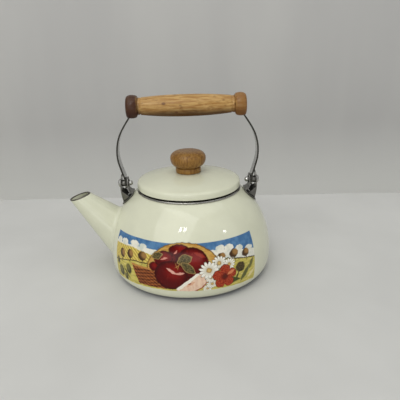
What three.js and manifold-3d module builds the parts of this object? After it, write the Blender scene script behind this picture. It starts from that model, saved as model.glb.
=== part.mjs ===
// Stovetop kettle in enamelled steel: a bellied body with a conical spout, a lift-off lid with a
// turned wooden knob, and a flat steel bail with a turned wooden grip that swings over the lid.
// Millimetres, +Z up. The origin is the centre of the flat base, on the body's axis, and the
// spout points along -X. The bail's hinge axis is parallel to X.
import * as THREE from "three";
import { ConvexGeometry } from "three/addons/geometries/ConvexGeometry.js";
import { mergeVertices } from "three/addons/utils/BufferGeometryUtils.js";
import Module from "manifold-3d";

const wasm = await Module();
wasm.setup();

// ---- Driving dimensions ----
const WALL = 1.2; // enamelled sheet steel
const GAP = 0.3; // clearance between neighbouring pieces
const PIN_CLEARANCE = 0.25; // radial, round a rivet or a screw

const BODY = {
  baseRadius: 68.8,
  bellyRadius: 93.9,
  bellyHeight: 24.8,
  neckRadius: 58.2,
  neckHeight: 97.7,
  lowerPower: 2.95, // of the superellipse between the base and the belly
  upperPower: 2.13, // of the curve between the belly and the neck
  lipRadius: 56.6,
  lipHeight: 100.0,
};
const PAN = { radius: 66.0, lapRadius: 71.0 };
const RING = { beadRadius: 59.3, outerRadius: 57.6, innerRadius: 54.1, top: 101.0, skirtBottom: 95.4 };
const SPOUT = {
  mouth: new THREE.Vector3(-127.3, 0, 89.7), // where the axis meets the mouth's plane
  elevation: 44.5, // of the axis above the horizontal, degrees
  mouthTilt: 17.5, // of the mouth's plane above the horizontal, degrees
  mouthRadius: 10.6,
  halfAngle: 13.3,
  rootDepth: 80, // along the axis, well inside the body
  rimHeight: 1.2,
  rimOverhang: 0.35,
};
const LID = {
  radius: 59.0,
  skirtBottom: 101.7,
  shoulderRadius: 56.4,
  shoulderHeight: 109.0,
  seatRadius: 15.0, // the flat that the knob stands on
  seatHeight: 116.0,
};
const PLUG = { outerRadius: 53.2, innerRadius: 52.2, bottom: 93.5, beadRadius: 56.9 };
const KNOB = {
  footRadius: 14.3,
  footTop: 122.2,
  grooveRadius: 13.5,
  bulbRadius: 20.2,
  bulbHeight: 132.6,
  top: 141.2,
};
const KNOB_SCREW = { shankRadius: 2.0, headRadius: 4.4, headHeight: 2.6, bite: 15.0 };
const KNOB_WASHER = { radius: 7.5, thickness: 1.0 };

const HINGE_HEIGHT = 105.0;
const STRAP = {
  width: 13.5, // along Y
  thickness: 1.8,
  grooveLevel: 5.2, // below the grip's axis, to the strap's middle
  // The arm's middle line from its lower end to the bend, as X and Z.
  arm: [
    [71.7, HINGE_HEIGHT - 8],
    [71.7, HINGE_HEIGHT + 4],
    [74.9, 120.5],
    [77.9, 132.5],
    [78.3, 143.5],
    [76.3, 155.0],
    [72.2, 165.0],
    [66.0, 175.0],
    [60.5, 182.8],
  ],
};
const GRIP = {
  axisHeight: 190.65,
  halfLength: 65.2,
  beadLength: 12.6,
  beadRadius: 13.1,
  collarLength: 3.4,
  collarRadius: 10.0,
  barrelEndRadius: 10.3,
  barrelRadius: 12.5,
};
const GRIP_SCREW = { x: 30.0, shankRadius: 1.6, headRadius: 3.3, headHeight: 1.7, bite: 11.0 };

const EAR = {
  thickness: 1.2,
  outerX: 77.3, // of the outer cheek's middle at the hinge pin
  innerX: 69.6, // of the inner cheek's middle at the hinge pin
  // The cheeks' middle lines from the foot to the top, as X and Z.
  outerLine: [
    [75.6, 83.4],
    [76.6, 90.0],
    [77.3, 97.0],
    [77.3, 105.0],
    [76.9, 111.0],
    [75.6, 117.0],
  ],
  innerLine: [
    [63.9, 94.8],
    [66.4, 95.2],
    [68.7, 97.2],
    [69.6, 100.4],
    [69.6, 113.0],
  ],
  footInnerRadius: 63.4,
  footOuterRadius: 76.4,
};
const HINGE_PIN = { radius: 2.2, headRadius: 4.7, headHeight: 2.9, tailRadius: 3.0, tailHeight: 3.2 };
const BURR = { radius: 4.2, thickness: 0.8 };
const SPACER_RADIUS = 3.8;
const EAR_RIVET = { radius: 1.3, headRadius: 2.3, headHeight: 1.2, tailHeight: 0.9, seat: 71.0, y: 3.2 };

// ---- Materials ----
const enamel = material(0xd8d9c4, 0.18, 0);
const steel = material(0x8c8c88, 0.32, 1);
const darkSteel = material(0x4a4946, 0.45, 1);
const wood = material(0xb9803f, 0.5, 0);

function material(color, roughness, metalness) {
  return new THREE.MeshStandardMaterial({ color, roughness, metalness });
}

// ---- Solids and meshes ----
function solid(geometry) {
  const bare = geometry.clone();
  bare.deleteAttribute("normal");
  bare.deleteAttribute("uv");
  const merged = mergeVertices(bare, 1e-4);
  return new wasm.Manifold(
    new wasm.Mesh({
      numProp: 3,
      vertProperties: merged.attributes.position.array,
      triVerts: new Uint32Array(merged.index.array),
    }),
  );
}

function mesh(name, source, look) {
  let geometry = source;
  if (!source.isBufferGeometry) {
    const made = source.getMesh();
    geometry = new THREE.BufferGeometry();
    geometry.setAttribute("position", new THREE.BufferAttribute(made.vertProperties, 3));
    geometry.setIndex(new THREE.BufferAttribute(made.triVerts, 1));
    geometry.computeVertexNormals();
  }
  const result = new THREE.Mesh(geometry, look);
  result.name = name;
  return result;
}

// A solid of revolution about +Z. The profile is a list of [radius, height] that runs
// counter-clockwise round the section, with the axis on its left.
function turned(profile, segments) {
  const points = profile.map(([radius, height]) => new THREE.Vector2(radius, height));
  if (points[0].x > 0 || points.at(-1).x > 0) points.push(points[0].clone());
  return new THREE.LatheGeometry(points, segments).rotateX(Math.PI / 2);
}

// Moves a turned shape so that its axis leaves `origin` along `direction`.
function aimed(geometry, origin, direction) {
  const turn = new THREE.Quaternion().setFromUnitVectors(new THREE.Vector3(0, 0, 1), direction);
  return geometry.applyQuaternion(turn).translate(origin.x, origin.y, origin.z);
}

function cylinder(radius, from, to, segments) {
  const axis = new THREE.Vector3().subVectors(to, from);
  const profile = [
    [0, 0],
    [radius, 0],
    [radius, axis.length()],
    [0, axis.length()],
  ];
  return aimed(turned(profile, segments), from, axis.normalize());
}

// A plate whose outline is drawn in Y and Z, with its thickness along +X from x.
function plateAcrossX(shape, x, thickness) {
  const geometry = new THREE.ExtrudeGeometry(shape, {
    depth: thickness,
    bevelEnabled: false,
    curveSegments: 8,
  });
  const basis = new THREE.Matrix4().makeBasis(
    new THREE.Vector3(0, 1, 0),
    new THREE.Vector3(0, 0, 1),
    new THREE.Vector3(1, 0, 0),
  );
  return geometry.applyMatrix4(basis).translate(x, 0, 0);
}

// A prism whose outline is drawn in X and Z, centred on Y = 0.
function prismAlongY(points, width) {
  const geometry = new THREE.ExtrudeGeometry(new THREE.Shape(points), {
    depth: width,
    bevelEnabled: false,
  });
  const basis = new THREE.Matrix4().makeBasis(
    new THREE.Vector3(1, 0, 0),
    new THREE.Vector3(0, 0, 1),
    new THREE.Vector3(0, -1, 0),
  );
  return geometry.applyMatrix4(basis).translate(0, width / 2, 0);
}

function range(count) {
  return Array.from({ length: count }, (_, index) => index);
}

function radians(degrees) {
  return THREE.MathUtils.degToRad(degrees);
}

// ---- The body's outline ----
// The quarter superellipse from the base up to the belly; `turn` runs from 0 to 1.
function lowerPoint(turn) {
  const angle = (turn * Math.PI) / 2;
  const power = 2 / BODY.lowerPower;
  return [
    BODY.baseRadius + (BODY.bellyRadius - BODY.baseRadius) * Math.sin(angle) ** power,
    BODY.bellyHeight * (1 - Math.abs(Math.cos(angle)) ** power),
  ];
}

// The shoulder from the belly up to the neck; `turn` runs from 0 to 1, and a little past.
function upperPoint(turn) {
  const narrowing = 1 - (BODY.neckRadius / BODY.bellyRadius) ** 2;
  return [
    BODY.bellyRadius * Math.sqrt(1 - narrowing * turn ** BODY.upperPower),
    BODY.bellyHeight + (BODY.neckHeight - BODY.bellyHeight) * turn,
  ];
}

// Where the shoulder has the given radius: its height, and the outward normal's angle.
function shoulderAt(radius) {
  const narrowing = 1 - (BODY.neckRadius / BODY.bellyRadius) ** 2;
  const turn = ((1 - (radius / BODY.bellyRadius) ** 2) / narrowing) ** (1 / BODY.upperPower);
  const [before, low] = upperPoint(turn - 0.001);
  const [after, high] = upperPoint(turn + 0.001);
  return {
    height: upperPoint(turn)[1],
    normal: Math.atan2(before - after, high - low),
  };
}

// The open outline moved outward along its normals; a negative distance moves it inward.
function offset(points, distance) {
  return points.map(([x, y], index) => {
    const [x0, y0] = points[Math.max(index - 1, 0)];
    const [x1, y1] = points[Math.min(index + 1, points.length - 1)];
    const length = Math.hypot(x1 - x0, y1 - y0);
    return [x + ((y1 - y0) / length) * distance, y - ((x1 - x0) / length) * distance];
  });
}

const LOWER_STEPS = 5;
const UPPER_STEPS = 7;
const bodyOutline = [
  ...range(LOWER_STEPS).map((step) => lowerPoint(step / LOWER_STEPS)),
  ...range(UPPER_STEPS + 1).map((step) => upperPoint(step / UPPER_STEPS)),
];
bodyOutline[0][1] = 0;
const BODY_SEGMENTS = 40;
const PIN_SEGMENTS = 16;

// The space that the body fills, grown by `growth`, as one solid without the hollow.
function bodyEnvelope(growth) {
  const grown = offset(bodyOutline, growth);
  const [topRadius, topHeight] = grown.at(-1);
  return solid(
    turned(
      [
        [0, -growth],
        [grown[0][0], -growth],
        ...grown.slice(1),
        [0, topHeight + topRadius / 1.4],
      ],
      BODY_SEGMENTS,
    ),
  );
}

// ---- The spout's cone ----
const spoutAxis = new THREE.Vector3(
  Math.cos(radians(SPOUT.elevation)),
  0,
  -Math.sin(radians(SPOUT.elevation)),
);
const mouthNormal = new THREE.Vector3(
  -Math.sin(radians(SPOUT.mouthTilt)),
  0,
  Math.cos(radians(SPOUT.mouthTilt)),
);
const SPOUT_SEGMENTS = 24;

// The cone at a radial distance from the outer surface, from beyond the mouth to the root.
function spoutCone(growth) {
  const slope = Math.tan(radians(SPOUT.halfAngle));
  const beyond = -14;
  const nearRadius = SPOUT.mouthRadius + slope * beyond + growth;
  const farRadius = SPOUT.mouthRadius + slope * SPOUT.rootDepth + growth;
  const profile = [
    [0, beyond],
    [nearRadius, beyond],
    [farRadius, SPOUT.rootDepth],
    [0, SPOUT.rootDepth],
  ];
  return solid(aimed(turned(profile, SPOUT_SEGMENTS), SPOUT.mouth, spoutAxis));
}

// The half space above the mouth's plane, raised by `height`.
function aboveMouth(height) {
  const size = 200;
  const block = new THREE.BoxGeometry(size, size, size).translate(0, 0, size / 2 + height);
  return solid(aimed(block, SPOUT.mouth, mouthNormal));
}

function makeSpout() {
  return spoutCone(0)
    .subtract(spoutCone(-WALL))
    .subtract(aboveMouth(-GAP))
    .subtract(bodyEnvelope(GAP));
}

function makeSpoutRim() {
  const wall = spoutCone(SPOUT.rimOverhang).subtract(spoutCone(-WALL - SPOUT.rimOverhang));
  return wall.intersect(aboveMouth(0)).subtract(aboveMouth(SPOUT.rimHeight));
}

// ---- The body, its pan and its mouth ring ----
function makeKettleBody() {
  const inner = offset(bodyOutline, -WALL).reverse();
  inner[inner.length - 1] = [BODY.baseRadius, WALL];
  const lipInner = BODY.lipRadius - WALL;
  const profile = [
    [PAN.radius + GAP, 0],
    ...bodyOutline,
    [BODY.lipRadius, BODY.neckHeight + 1.2],
    [BODY.lipRadius, BODY.lipHeight],
    [lipInner, BODY.lipHeight],
    [lipInner, BODY.neckHeight + 0.2],
    ...inner,
    [PAN.radius + GAP, WALL],
  ];
  let shell = solid(turned(profile, BODY_SEGMENTS)).subtract(spoutCone(-WALL));
  for (const side of [-1, 1]) {
    for (const y of [-EAR_RIVET.y, EAR_RIVET.y]) shell = shell.subtract(earRivetHole(side, y));
  }
  return shell;
}

function makeBasePan() {
  const lapBottom = WALL + GAP;
  const lapTop = lapBottom + WALL;
  return turned(
    [
      [0, 0],
      [PAN.radius, 0],
      [PAN.radius, lapBottom],
      [PAN.lapRadius, lapBottom],
      [PAN.lapRadius, lapTop],
      [PAN.radius - WALL, lapTop],
      [PAN.radius - 2 * WALL, WALL],
      [0, WALL],
    ],
    BODY_SEGMENTS,
  );
}

// A steel channel folded over the body's lip, with a bead that covers the seam on the shoulder.
function makeMouthRing() {
  const legInside = BODY.lipRadius + GAP;
  const legOutside = BODY.lipRadius - WALL - GAP;
  const channelTop = BODY.lipHeight + GAP;
  return turned(
    [
      [RING.innerRadius, RING.skirtBottom],
      [legOutside, RING.skirtBottom],
      [legOutside, channelTop],
      [legInside, channelTop],
      [legInside, BODY.neckHeight + 1.5],
      [RING.beadRadius - 0.3, BODY.neckHeight + 0.1],
      [RING.beadRadius, BODY.neckHeight + 0.7],
      [RING.beadRadius - 0.6, BODY.neckHeight + 1.9],
      [RING.outerRadius, BODY.neckHeight + 2.1],
      [RING.outerRadius, RING.top],
      [RING.innerRadius, RING.top],
    ],
    BODY_SEGMENTS,
  );
}

// ---- The hinge ears ----
function earRivetAxis(side, y) {
  const { height, normal } = shoulderAt(EAR_RIVET.seat);
  const azimuth = Math.asin(y / EAR_RIVET.seat);
  const cos = Math.cos(azimuth) * side;
  const seat = new THREE.Vector3(EAR_RIVET.seat * cos, y, height);
  const direction = new THREE.Vector3(
    Math.cos(normal) * cos,
    Math.cos(normal) * Math.sin(azimuth),
    Math.sin(normal),
  );
  return { seat, direction };
}

function earRivetHole(side, y) {
  const { seat, direction } = earRivetAxis(side, y);
  const from = seat.clone().addScaledVector(direction, -5);
  const to = seat.clone().addScaledVector(direction, 5);
  return solid(cylinder(EAR_RIVET.radius + PIN_CLEARANCE, from, to, 12));
}

// A strip whose middle line is drawn in X and Z, wide along Y.
function strip(line, thickness, width) {
  const middle = line.map(([x, z]) => new THREE.Vector2(x, z));
  const loop = [...besideLine(middle, thickness / 2), ...besideLine(middle, -thickness / 2).reverse()];
  return solid(prismAlongY(loop, width));
}

// The outer cheek seen along X: narrow at the foot, round at the top.
function outerCheekShape() {
  const shape = new THREE.Shape();
  shape.moveTo(-4.4, BODY.bellyHeight);
  shape.lineTo(4.4, BODY.bellyHeight);
  shape.lineTo(4.6, 86);
  shape.lineTo(7, 98);
  shape.lineTo(7, 108);
  shape.absellipse(0, 108, 7, 8.2, 0, Math.PI, false);
  shape.lineTo(-7, 98);
  shape.lineTo(-4.6, 86);
  shape.closePath();
  return shape;
}

// The inner cheek seen along X: it spreads into the flange that lies on the shoulder.
function innerCheekShape() {
  const shape = new THREE.Shape();
  shape.moveTo(-8, BODY.bellyHeight);
  shape.lineTo(8, BODY.bellyHeight);
  shape.lineTo(8, 95.8);
  shape.lineTo(6.8, 100.5);
  shape.lineTo(6.8, 105.6);
  shape.absellipse(0, 105.6, 6.8, 6.8, 0, Math.PI, false);
  shape.lineTo(-6.8, 100.5);
  shape.lineTo(-8, 95.8);
  shape.closePath();
  return shape;
}

// The foot follows the shoulder, so it is a piece of a turned shell, wide towards the lid and
// narrow towards the belly.
function earFoot() {
  const steps = 6;
  const outline = range(steps + 1).map((step) => {
    const radius = THREE.MathUtils.lerp(EAR.footOuterRadius, EAR.footInnerRadius, step / steps);
    return [radius, shoulderAt(radius).height];
  });
  const over = offset(outline, 2 * GAP + EAR.thickness);
  const under = offset(outline, 2 * GAP).reverse();
  const shell = solid(turned([...over, ...under], BODY_SEGMENTS));
  const front = [
    [62, 7],
    [66, 11.2],
    [69.5, 11.2],
    [78, 4.4],
  ];
  const plan = [...front, ...front.map(([x, y]) => [x, -y]).reverse()];
  const teardrop = new THREE.Shape(plan.map(([x, y]) => new THREE.Vector2(x, y)));
  const prism = new THREE.ExtrudeGeometry(teardrop, { depth: BODY.neckHeight, bevelEnabled: false });
  return shell.intersect(solid(prism.translate(0, 0, BODY.bellyHeight)));
}

// The wing that braces the outer cheek's edge down to the foot's corner, on the side of Y `hand`.
function earWing(hand) {
  const corners = [
    new THREE.Vector3(77.1, 6.5 * hand, 97.6),
    new THREE.Vector3(75.6, 4.2 * hand, 84.2),
    new THREE.Vector3(68.2, 10.3 * hand, 90.8),
  ];
  const normal = new THREE.Triangle(...corners).getNormal(new THREE.Vector3());
  const faces = [-0.5, 0.5].map((side) =>
    corners.map((corner) => corner.clone().addScaledVector(normal, side * EAR.thickness)),
  );
  return solid(new ConvexGeometry(faces.flat()));
}

function makeEarBracket(side) {
  const outer = strip(EAR.outerLine, EAR.thickness, 40);
  const inner = strip(EAR.innerLine, EAR.thickness, 40);
  const pinHole = solid(
    cylinder(
      HINGE_PIN.radius + PIN_CLEARANCE,
      new THREE.Vector3(60, 0, HINGE_HEIGHT),
      new THREE.Vector3(90, 0, HINGE_HEIGHT),
      PIN_SEGMENTS,
    ),
  );
  let bracket = outer
    .intersect(solid(plateAcrossX(outerCheekShape(), 50, 50)))
    .add(inner.intersect(solid(plateAcrossX(innerCheekShape(), 50, 50))))
    .add(earFoot())
    .add(earWing(-1))
    .add(earWing(1))
    .subtract(bodyEnvelope(1.5 * GAP))
    .subtract(pinHole);
  for (const y of [-EAR_RIVET.y, EAR_RIVET.y]) bracket = bracket.subtract(earRivetHole(1, y));
  return side > 0 ? bracket : bracket.mirror([1, 0, 0]);
}

// A rivet or a pin along +Z from its head's seat: a domed head, a shank and a domed tail.
function rivetProfile({ radius, headRadius, headHeight, length, tailRadius, tailHeight }) {
  return [
    [0, -length - tailHeight],
    [0.6 * tailRadius, -length - tailHeight],
    [tailRadius, -length - 0.35 * tailHeight],
    [tailRadius, -length],
    [radius, -length],
    [radius, 0],
    [headRadius, 0],
    [headRadius * 0.94, 0.4 * headHeight],
    [headRadius * 0.6, 0.85 * headHeight],
    [0, headHeight],
  ];
}

function makeEarRivet(side, y) {
  const { seat, direction } = earRivetAxis(side, y);
  const profile = rivetProfile({
    ...EAR_RIVET,
    tailRadius: EAR_RIVET.headRadius,
    length: 6 * GAP + EAR.thickness + WALL,
  });
  const start = seat.clone().addScaledVector(direction, 3 * GAP + EAR.thickness);
  return aimed(turned(profile, 12), start, direction);
}

function makeHingePin(side) {
  const headSeat = EAR.outerX + EAR.thickness / 2 + GAP;
  const tailSeat = EAR.innerX - EAR.thickness / 2 - BURR.thickness - 2 * GAP;
  const profile = rivetProfile({ ...HINGE_PIN, length: headSeat - tailSeat });
  const start = new THREE.Vector3(side * headSeat, 0, HINGE_HEIGHT);
  return aimed(turned(profile, PIN_SEGMENTS), start, new THREE.Vector3(side, 0, 0));
}

// A flat ring round the hinge pin, from X `from` to X `to` on the +X side.
function hingeWasher(side, outerRadius, from, to) {
  const bore = HINGE_PIN.radius + PIN_CLEARANCE;
  const profile = [
    [bore, from],
    [outerRadius, from],
    [outerRadius, to],
    [bore, to],
  ];
  const axis = new THREE.Vector3(side, 0, 0);
  return aimed(turned(profile, PIN_SEGMENTS), new THREE.Vector3(0, 0, HINGE_HEIGHT), axis);
}

function makeHingeSpacer(side) {
  const strapFace = STRAP.arm[0][0] + STRAP.thickness / 2;
  const cheekFace = EAR.outerX - EAR.thickness / 2;
  return hingeWasher(side, SPACER_RADIUS, strapFace + 2 * GAP, cheekFace - GAP);
}

function makeHingeBurr(side) {
  const face = EAR.innerX - EAR.thickness / 2 - GAP;
  return hingeWasher(side, BURR.radius, face - BURR.thickness, face);
}

// ---- The lid ----
// The lid's top surface: flat under the knob, then a dome down to the rolled shoulder.
function lidTop() {
  const steps = 4;
  const rise = LID.seatHeight - LID.shoulderHeight;
  const span = LID.shoulderRadius - LID.seatRadius;
  return range(steps + 1).map((step) => {
    const out = 1 - step / steps;
    return [LID.seatRadius + span * out, LID.seatHeight - rise * out ** 1.8];
  });
}

function makeLid() {
  const bore = KNOB_SCREW.shankRadius + PIN_CLEARANCE;
  const outline = [
    [LID.radius, LID.skirtBottom],
    [LID.radius - 0.1, LID.shoulderHeight - 3.4],
    [LID.radius - 0.6, LID.shoulderHeight - 1.5],
    ...lidTop(),
  ];
  const inner = offset(outline, -WALL).reverse();
  inner[inner.length - 1] = [LID.radius - WALL, LID.skirtBottom];
  inner[0] = [LID.seatRadius, LID.seatHeight - WALL];
  const profile = [...outline, [bore, LID.seatHeight], [bore, LID.seatHeight - WALL], ...inner];
  return turned(profile, BODY_SEGMENTS);
}

// The ring welded under the lid: it hangs into the mouth, and its bead rests on the mouth ring.
function makeLidPlug() {
  const beadBottom = RING.top + GAP;
  const { outerRadius, innerRadius, bottom, beadRadius } = PLUG;
  const top = LID.shoulderHeight - 0.9;
  return turned(
    [
      [innerRadius, bottom],
      [outerRadius, bottom],
      [outerRadius, beadBottom],
      [beadRadius, beadBottom],
      [beadRadius, beadBottom + 1.1],
      [outerRadius + 0.6, beadBottom + 1.1],
      [outerRadius + 0.6, top],
      [innerRadius, top],
    ],
    BODY_SEGMENTS,
  );
}

function makeLidKnob() {
  const foot = LID.seatHeight + GAP;
  const pilot = KNOB_SCREW.shankRadius + PIN_CLEARANCE;
  const pilotTop = foot + KNOB_SCREW.bite + 1;
  const belly = KNOB.bulbHeight;
  const steps = 4;
  const under = range(steps + 1).map((step) => {
    const angle = (step / steps) * (Math.PI / 2);
    const drop = (belly - KNOB.footTop - 1.2) * Math.cos(angle);
    return [KNOB.grooveRadius + (KNOB.bulbRadius - KNOB.grooveRadius) * Math.sin(angle), belly - drop];
  });
  const over = range(steps + 1).map((step) => {
    const angle = ((step + 1) / (steps + 1)) * (Math.PI / 2);
    return [KNOB.bulbRadius * Math.cos(angle) ** 0.5, belly + (KNOB.top - belly) * Math.sin(angle)];
  });
  over[over.length - 1] = [0, KNOB.top];
  return turned(
    [
      [0, pilotTop],
      [pilot, pilotTop - 1],
      [pilot, foot],
      [KNOB.footRadius - 0.8, foot],
      [KNOB.footRadius, foot + 1],
      [KNOB.footRadius, KNOB.footTop - 0.6],
      [KNOB.grooveRadius, KNOB.footTop],
      ...under,
      ...over,
    ],
    28,
  );
}

function knobWasherTop() {
  return LID.seatHeight - WALL - GAP;
}

function makeKnobWasher() {
  const bore = KNOB_SCREW.shankRadius + PIN_CLEARANCE;
  const top = knobWasherTop();
  const bottom = top - KNOB_WASHER.thickness;
  return turned(
    [
      [bore, bottom],
      [KNOB_WASHER.radius, bottom],
      [KNOB_WASHER.radius, top],
      [bore, top],
    ],
    24,
  );
}

function makeKnobScrew() {
  const { shankRadius, headRadius, headHeight, bite } = KNOB_SCREW;
  const headTop = knobWasherTop() - KNOB_WASHER.thickness - GAP;
  const tip = LID.seatHeight + GAP + bite;
  return turned(
    [
      [0, headTop - headHeight],
      [0.6 * headRadius, headTop - headHeight],
      [headRadius, headTop - 0.5 * headHeight],
      [headRadius, headTop],
      [shankRadius, headTop],
      [shankRadius, tip - 2],
      [0, tip],
    ],
    20,
  );
}

// ---- The bail ----
// The strap's middle line from the +X hinge end to the middle of the grip, as X and Z.
function strapLine() {
  const spline = new THREE.SplineCurve(STRAP.arm.map(([x, z]) => new THREE.Vector2(x, z)));
  const arm = spline.getPoints(22);
  const level = GRIP.axisHeight - STRAP.grooveLevel;
  const entry = arm.at(-1);
  const before = arm.at(-2);
  const heading = Math.atan2(entry.y - before.y, before.x - entry.x);
  const drop = level - entry.y;
  const radius = drop / (1 - Math.cos(heading));
  const bendSteps = 5;
  const bend = range(bendSteps).map((step) => {
    const angle = heading * (1 - (step + 1) / bendSteps);
    const centreX = entry.x - radius * Math.sin(heading);
    return new THREE.Vector2(centreX + radius * Math.sin(angle), level - radius * (1 - Math.cos(angle)));
  });
  return [...arm, ...bend, new THREE.Vector2(0, level)];
}

// The line moved sideways, out of the bail's loop where the distance is positive.
function besideLine(line, distance) {
  return line.map((point, index) => {
    const before = line[Math.max(index - 1, 0)];
    const after = line[Math.min(index + 1, line.length - 1)];
    const along = new THREE.Vector2().subVectors(after, before).normalize();
    return new THREE.Vector2(point.x + along.y * distance, point.y - along.x * distance);
  });
}

function mirrored(points) {
  return points.map((point) => new THREE.Vector2(-point.x, point.y));
}

function makeBailStrap() {
  const line = strapLine();
  const half = STRAP.thickness / 2;
  const outside = besideLine(line, half);
  const inside = besideLine(line, -half);
  const loop = [
    ...outside,
    ...mirrored(outside.slice(0, -1)).reverse(),
    ...mirrored(inside),
    ...inside.slice(0, -1).reverse(),
  ];
  const band = solid(prismAlongY(loop, 2 * STRAP.width));
  const halfWidth = STRAP.width / 2;
  const paddle = new THREE.Shape();
  paddle.absarc(0, HINGE_HEIGHT, halfWidth, Math.PI, 2 * Math.PI, false);
  paddle.lineTo(halfWidth, GRIP.axisHeight);
  paddle.lineTo(-halfWidth, GRIP.axisHeight);
  paddle.closePath();
  let strap = band.intersect(solid(plateAcrossX(paddle, -100, 200)));
  const left = new THREE.Vector3(-100, 0, HINGE_HEIGHT);
  const right = new THREE.Vector3(100, 0, HINGE_HEIGHT);
  strap = strap.subtract(solid(cylinder(HINGE_PIN.radius + PIN_CLEARANCE, left, right, PIN_SEGMENTS)));
  for (const side of [-1, 1]) strap = strap.subtract(gripScrewHole(side));
  return strap;
}

function gripScrewHole(side) {
  const x = side * GRIP_SCREW.x;
  const top = GRIP.axisHeight - STRAP.grooveLevel + GRIP_SCREW.bite + 1;
  const from = new THREE.Vector3(x, 0, GRIP.axisHeight - 2 * GRIP.beadRadius);
  return solid(cylinder(GRIP_SCREW.shankRadius + GAP, from, new THREE.Vector3(x, 0, top), 12));
}

function gripProfile() {
  const { halfLength, beadLength, beadRadius, collarLength, collarRadius } = GRIP;
  const beadStart = halfLength - beadLength;
  const barrelEnd = beadStart - collarLength;
  const beadSteps = 7;
  const bead = range(beadSteps).map((step) => {
    const angle = (step / (beadSteps - 1)) * Math.PI;
    const bulge = Math.abs(Math.sin(angle)) ** 0.6;
    const edge = angle < Math.PI / 2 ? collarRadius : 0.62 * beadRadius;
    return [
      edge + (beadRadius - edge) * bulge,
      beadStart + (beadLength / 2) * (1 - Math.cos(angle)),
    ];
  });
  const barrelSteps = 5;
  const barrel = range(barrelSteps).map((step) => {
    const out = (step + 1) / barrelSteps;
    const swell = 1 - out ** 2.2;
    return [
      GRIP.barrelEndRadius + (GRIP.barrelRadius - GRIP.barrelEndRadius) * swell,
      barrelEnd * out,
    ];
  });
  const half = [...barrel, [collarRadius, barrelEnd + 0.5], ...bead];
  const other = half.map(([radius, x]) => [radius, -x]).reverse();
  return [
    [0, -halfLength],
    ...other,
    [GRIP.barrelRadius, 0],
    ...half,
    [0, halfLength],
  ];
}

// The routed groove that takes the strap, open downwards.
function gripGroove() {
  const ceiling = besideLine(strapLine(), STRAP.thickness / 2 + GAP);
  const inGrip = ceiling.filter((point) => point.y > 170);
  const floor = GRIP.axisHeight - 2 * GRIP.beadRadius;
  const outline = [
    new THREE.Vector2(inGrip[0].x, floor),
    ...inGrip,
    ...mirrored(inGrip.slice(0, -1)).reverse(),
    new THREE.Vector2(-inGrip[0].x, floor),
  ];
  return solid(prismAlongY(outline, STRAP.width + 2 * GAP));
}

function makeGrip() {
  const centre = new THREE.Vector3(0, 0, GRIP.axisHeight);
  const wooden = aimed(turned(gripProfile(), 24), centre, new THREE.Vector3(1, 0, 0));
  let grip = solid(wooden).subtract(gripGroove());
  for (const side of [-1, 1]) grip = grip.subtract(gripScrewHole(side));
  return grip;
}

function makeGripScrew(side) {
  const { x, shankRadius, headRadius, headHeight, bite } = GRIP_SCREW;
  const middle = GRIP.axisHeight - STRAP.grooveLevel;
  const headTop = middle - STRAP.thickness / 2 - GAP;
  return turned(
    [
      [0, headTop - headHeight],
      [0.6 * headRadius, headTop - headHeight],
      [headRadius, headTop - 0.4 * headHeight],
      [headRadius, headTop],
      [shankRadius, headTop],
      [shankRadius, middle + bite - 2],
      [0, middle + bite],
    ],
    16,
  ).translate(side * x, 0, 0);
}

// ---- Assembly ----
const kettle = new THREE.Group();
kettle.add(
  mesh("kettle_body", makeKettleBody(), enamel),
  mesh("base_pan", makeBasePan(), enamel),
  mesh("mouth_ring", makeMouthRing(), steel),
  mesh("spout", makeSpout(), enamel),
  mesh("spout_rim", makeSpoutRim(), darkSteel),
  mesh("lid", makeLid(), enamel),
  mesh("lid_plug_ring", makeLidPlug(), steel),
  mesh("lid_knob", makeLidKnob(), wood),
  mesh("knob_washer", makeKnobWasher(), steel),
  mesh("knob_screw", makeKnobScrew(), steel),
  mesh("bail_strap", makeBailStrap(), steel),
  mesh("bail_grip", makeGrip(), wood),
);
for (const [hand, side] of [
  ["left", -1],
  ["right", 1],
]) {
  kettle.add(
    mesh(`${hand}_ear_bracket`, makeEarBracket(side), darkSteel),
    mesh(`${hand}_ear_rivet_front`, makeEarRivet(side, -EAR_RIVET.y), darkSteel),
    mesh(`${hand}_ear_rivet_back`, makeEarRivet(side, EAR_RIVET.y), darkSteel),
    mesh(`${hand}_hinge_pin`, makeHingePin(side), steel),
    mesh(`${hand}_hinge_spacer`, makeHingeSpacer(side), steel),
    mesh(`${hand}_hinge_burr`, makeHingeBurr(side), steel),
    mesh(`${hand}_grip_screw`, makeGripScrew(side), steel),
  );
}

export default kettle;
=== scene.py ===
"""Looks of the stovetop kettle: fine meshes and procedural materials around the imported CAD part."""

from math import asin, atan2, cos, hypot, pi, radians, sin, sqrt, tan
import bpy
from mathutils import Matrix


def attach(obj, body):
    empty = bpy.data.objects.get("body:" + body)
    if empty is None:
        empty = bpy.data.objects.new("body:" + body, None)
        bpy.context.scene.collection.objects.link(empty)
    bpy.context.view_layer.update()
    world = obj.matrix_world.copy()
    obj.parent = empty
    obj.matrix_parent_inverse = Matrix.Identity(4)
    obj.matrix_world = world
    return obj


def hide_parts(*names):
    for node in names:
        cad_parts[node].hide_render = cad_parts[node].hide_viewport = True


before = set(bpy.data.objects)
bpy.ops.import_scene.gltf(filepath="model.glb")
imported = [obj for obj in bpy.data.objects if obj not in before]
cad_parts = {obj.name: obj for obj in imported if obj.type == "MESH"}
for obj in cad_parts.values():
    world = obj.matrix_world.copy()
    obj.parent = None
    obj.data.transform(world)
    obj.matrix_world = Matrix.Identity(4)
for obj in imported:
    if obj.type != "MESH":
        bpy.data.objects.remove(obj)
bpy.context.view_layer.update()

from types import SimpleNamespace as Sizes

import bmesh
import bpy
from mathutils import Matrix, Vector

MM = 0.001

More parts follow.
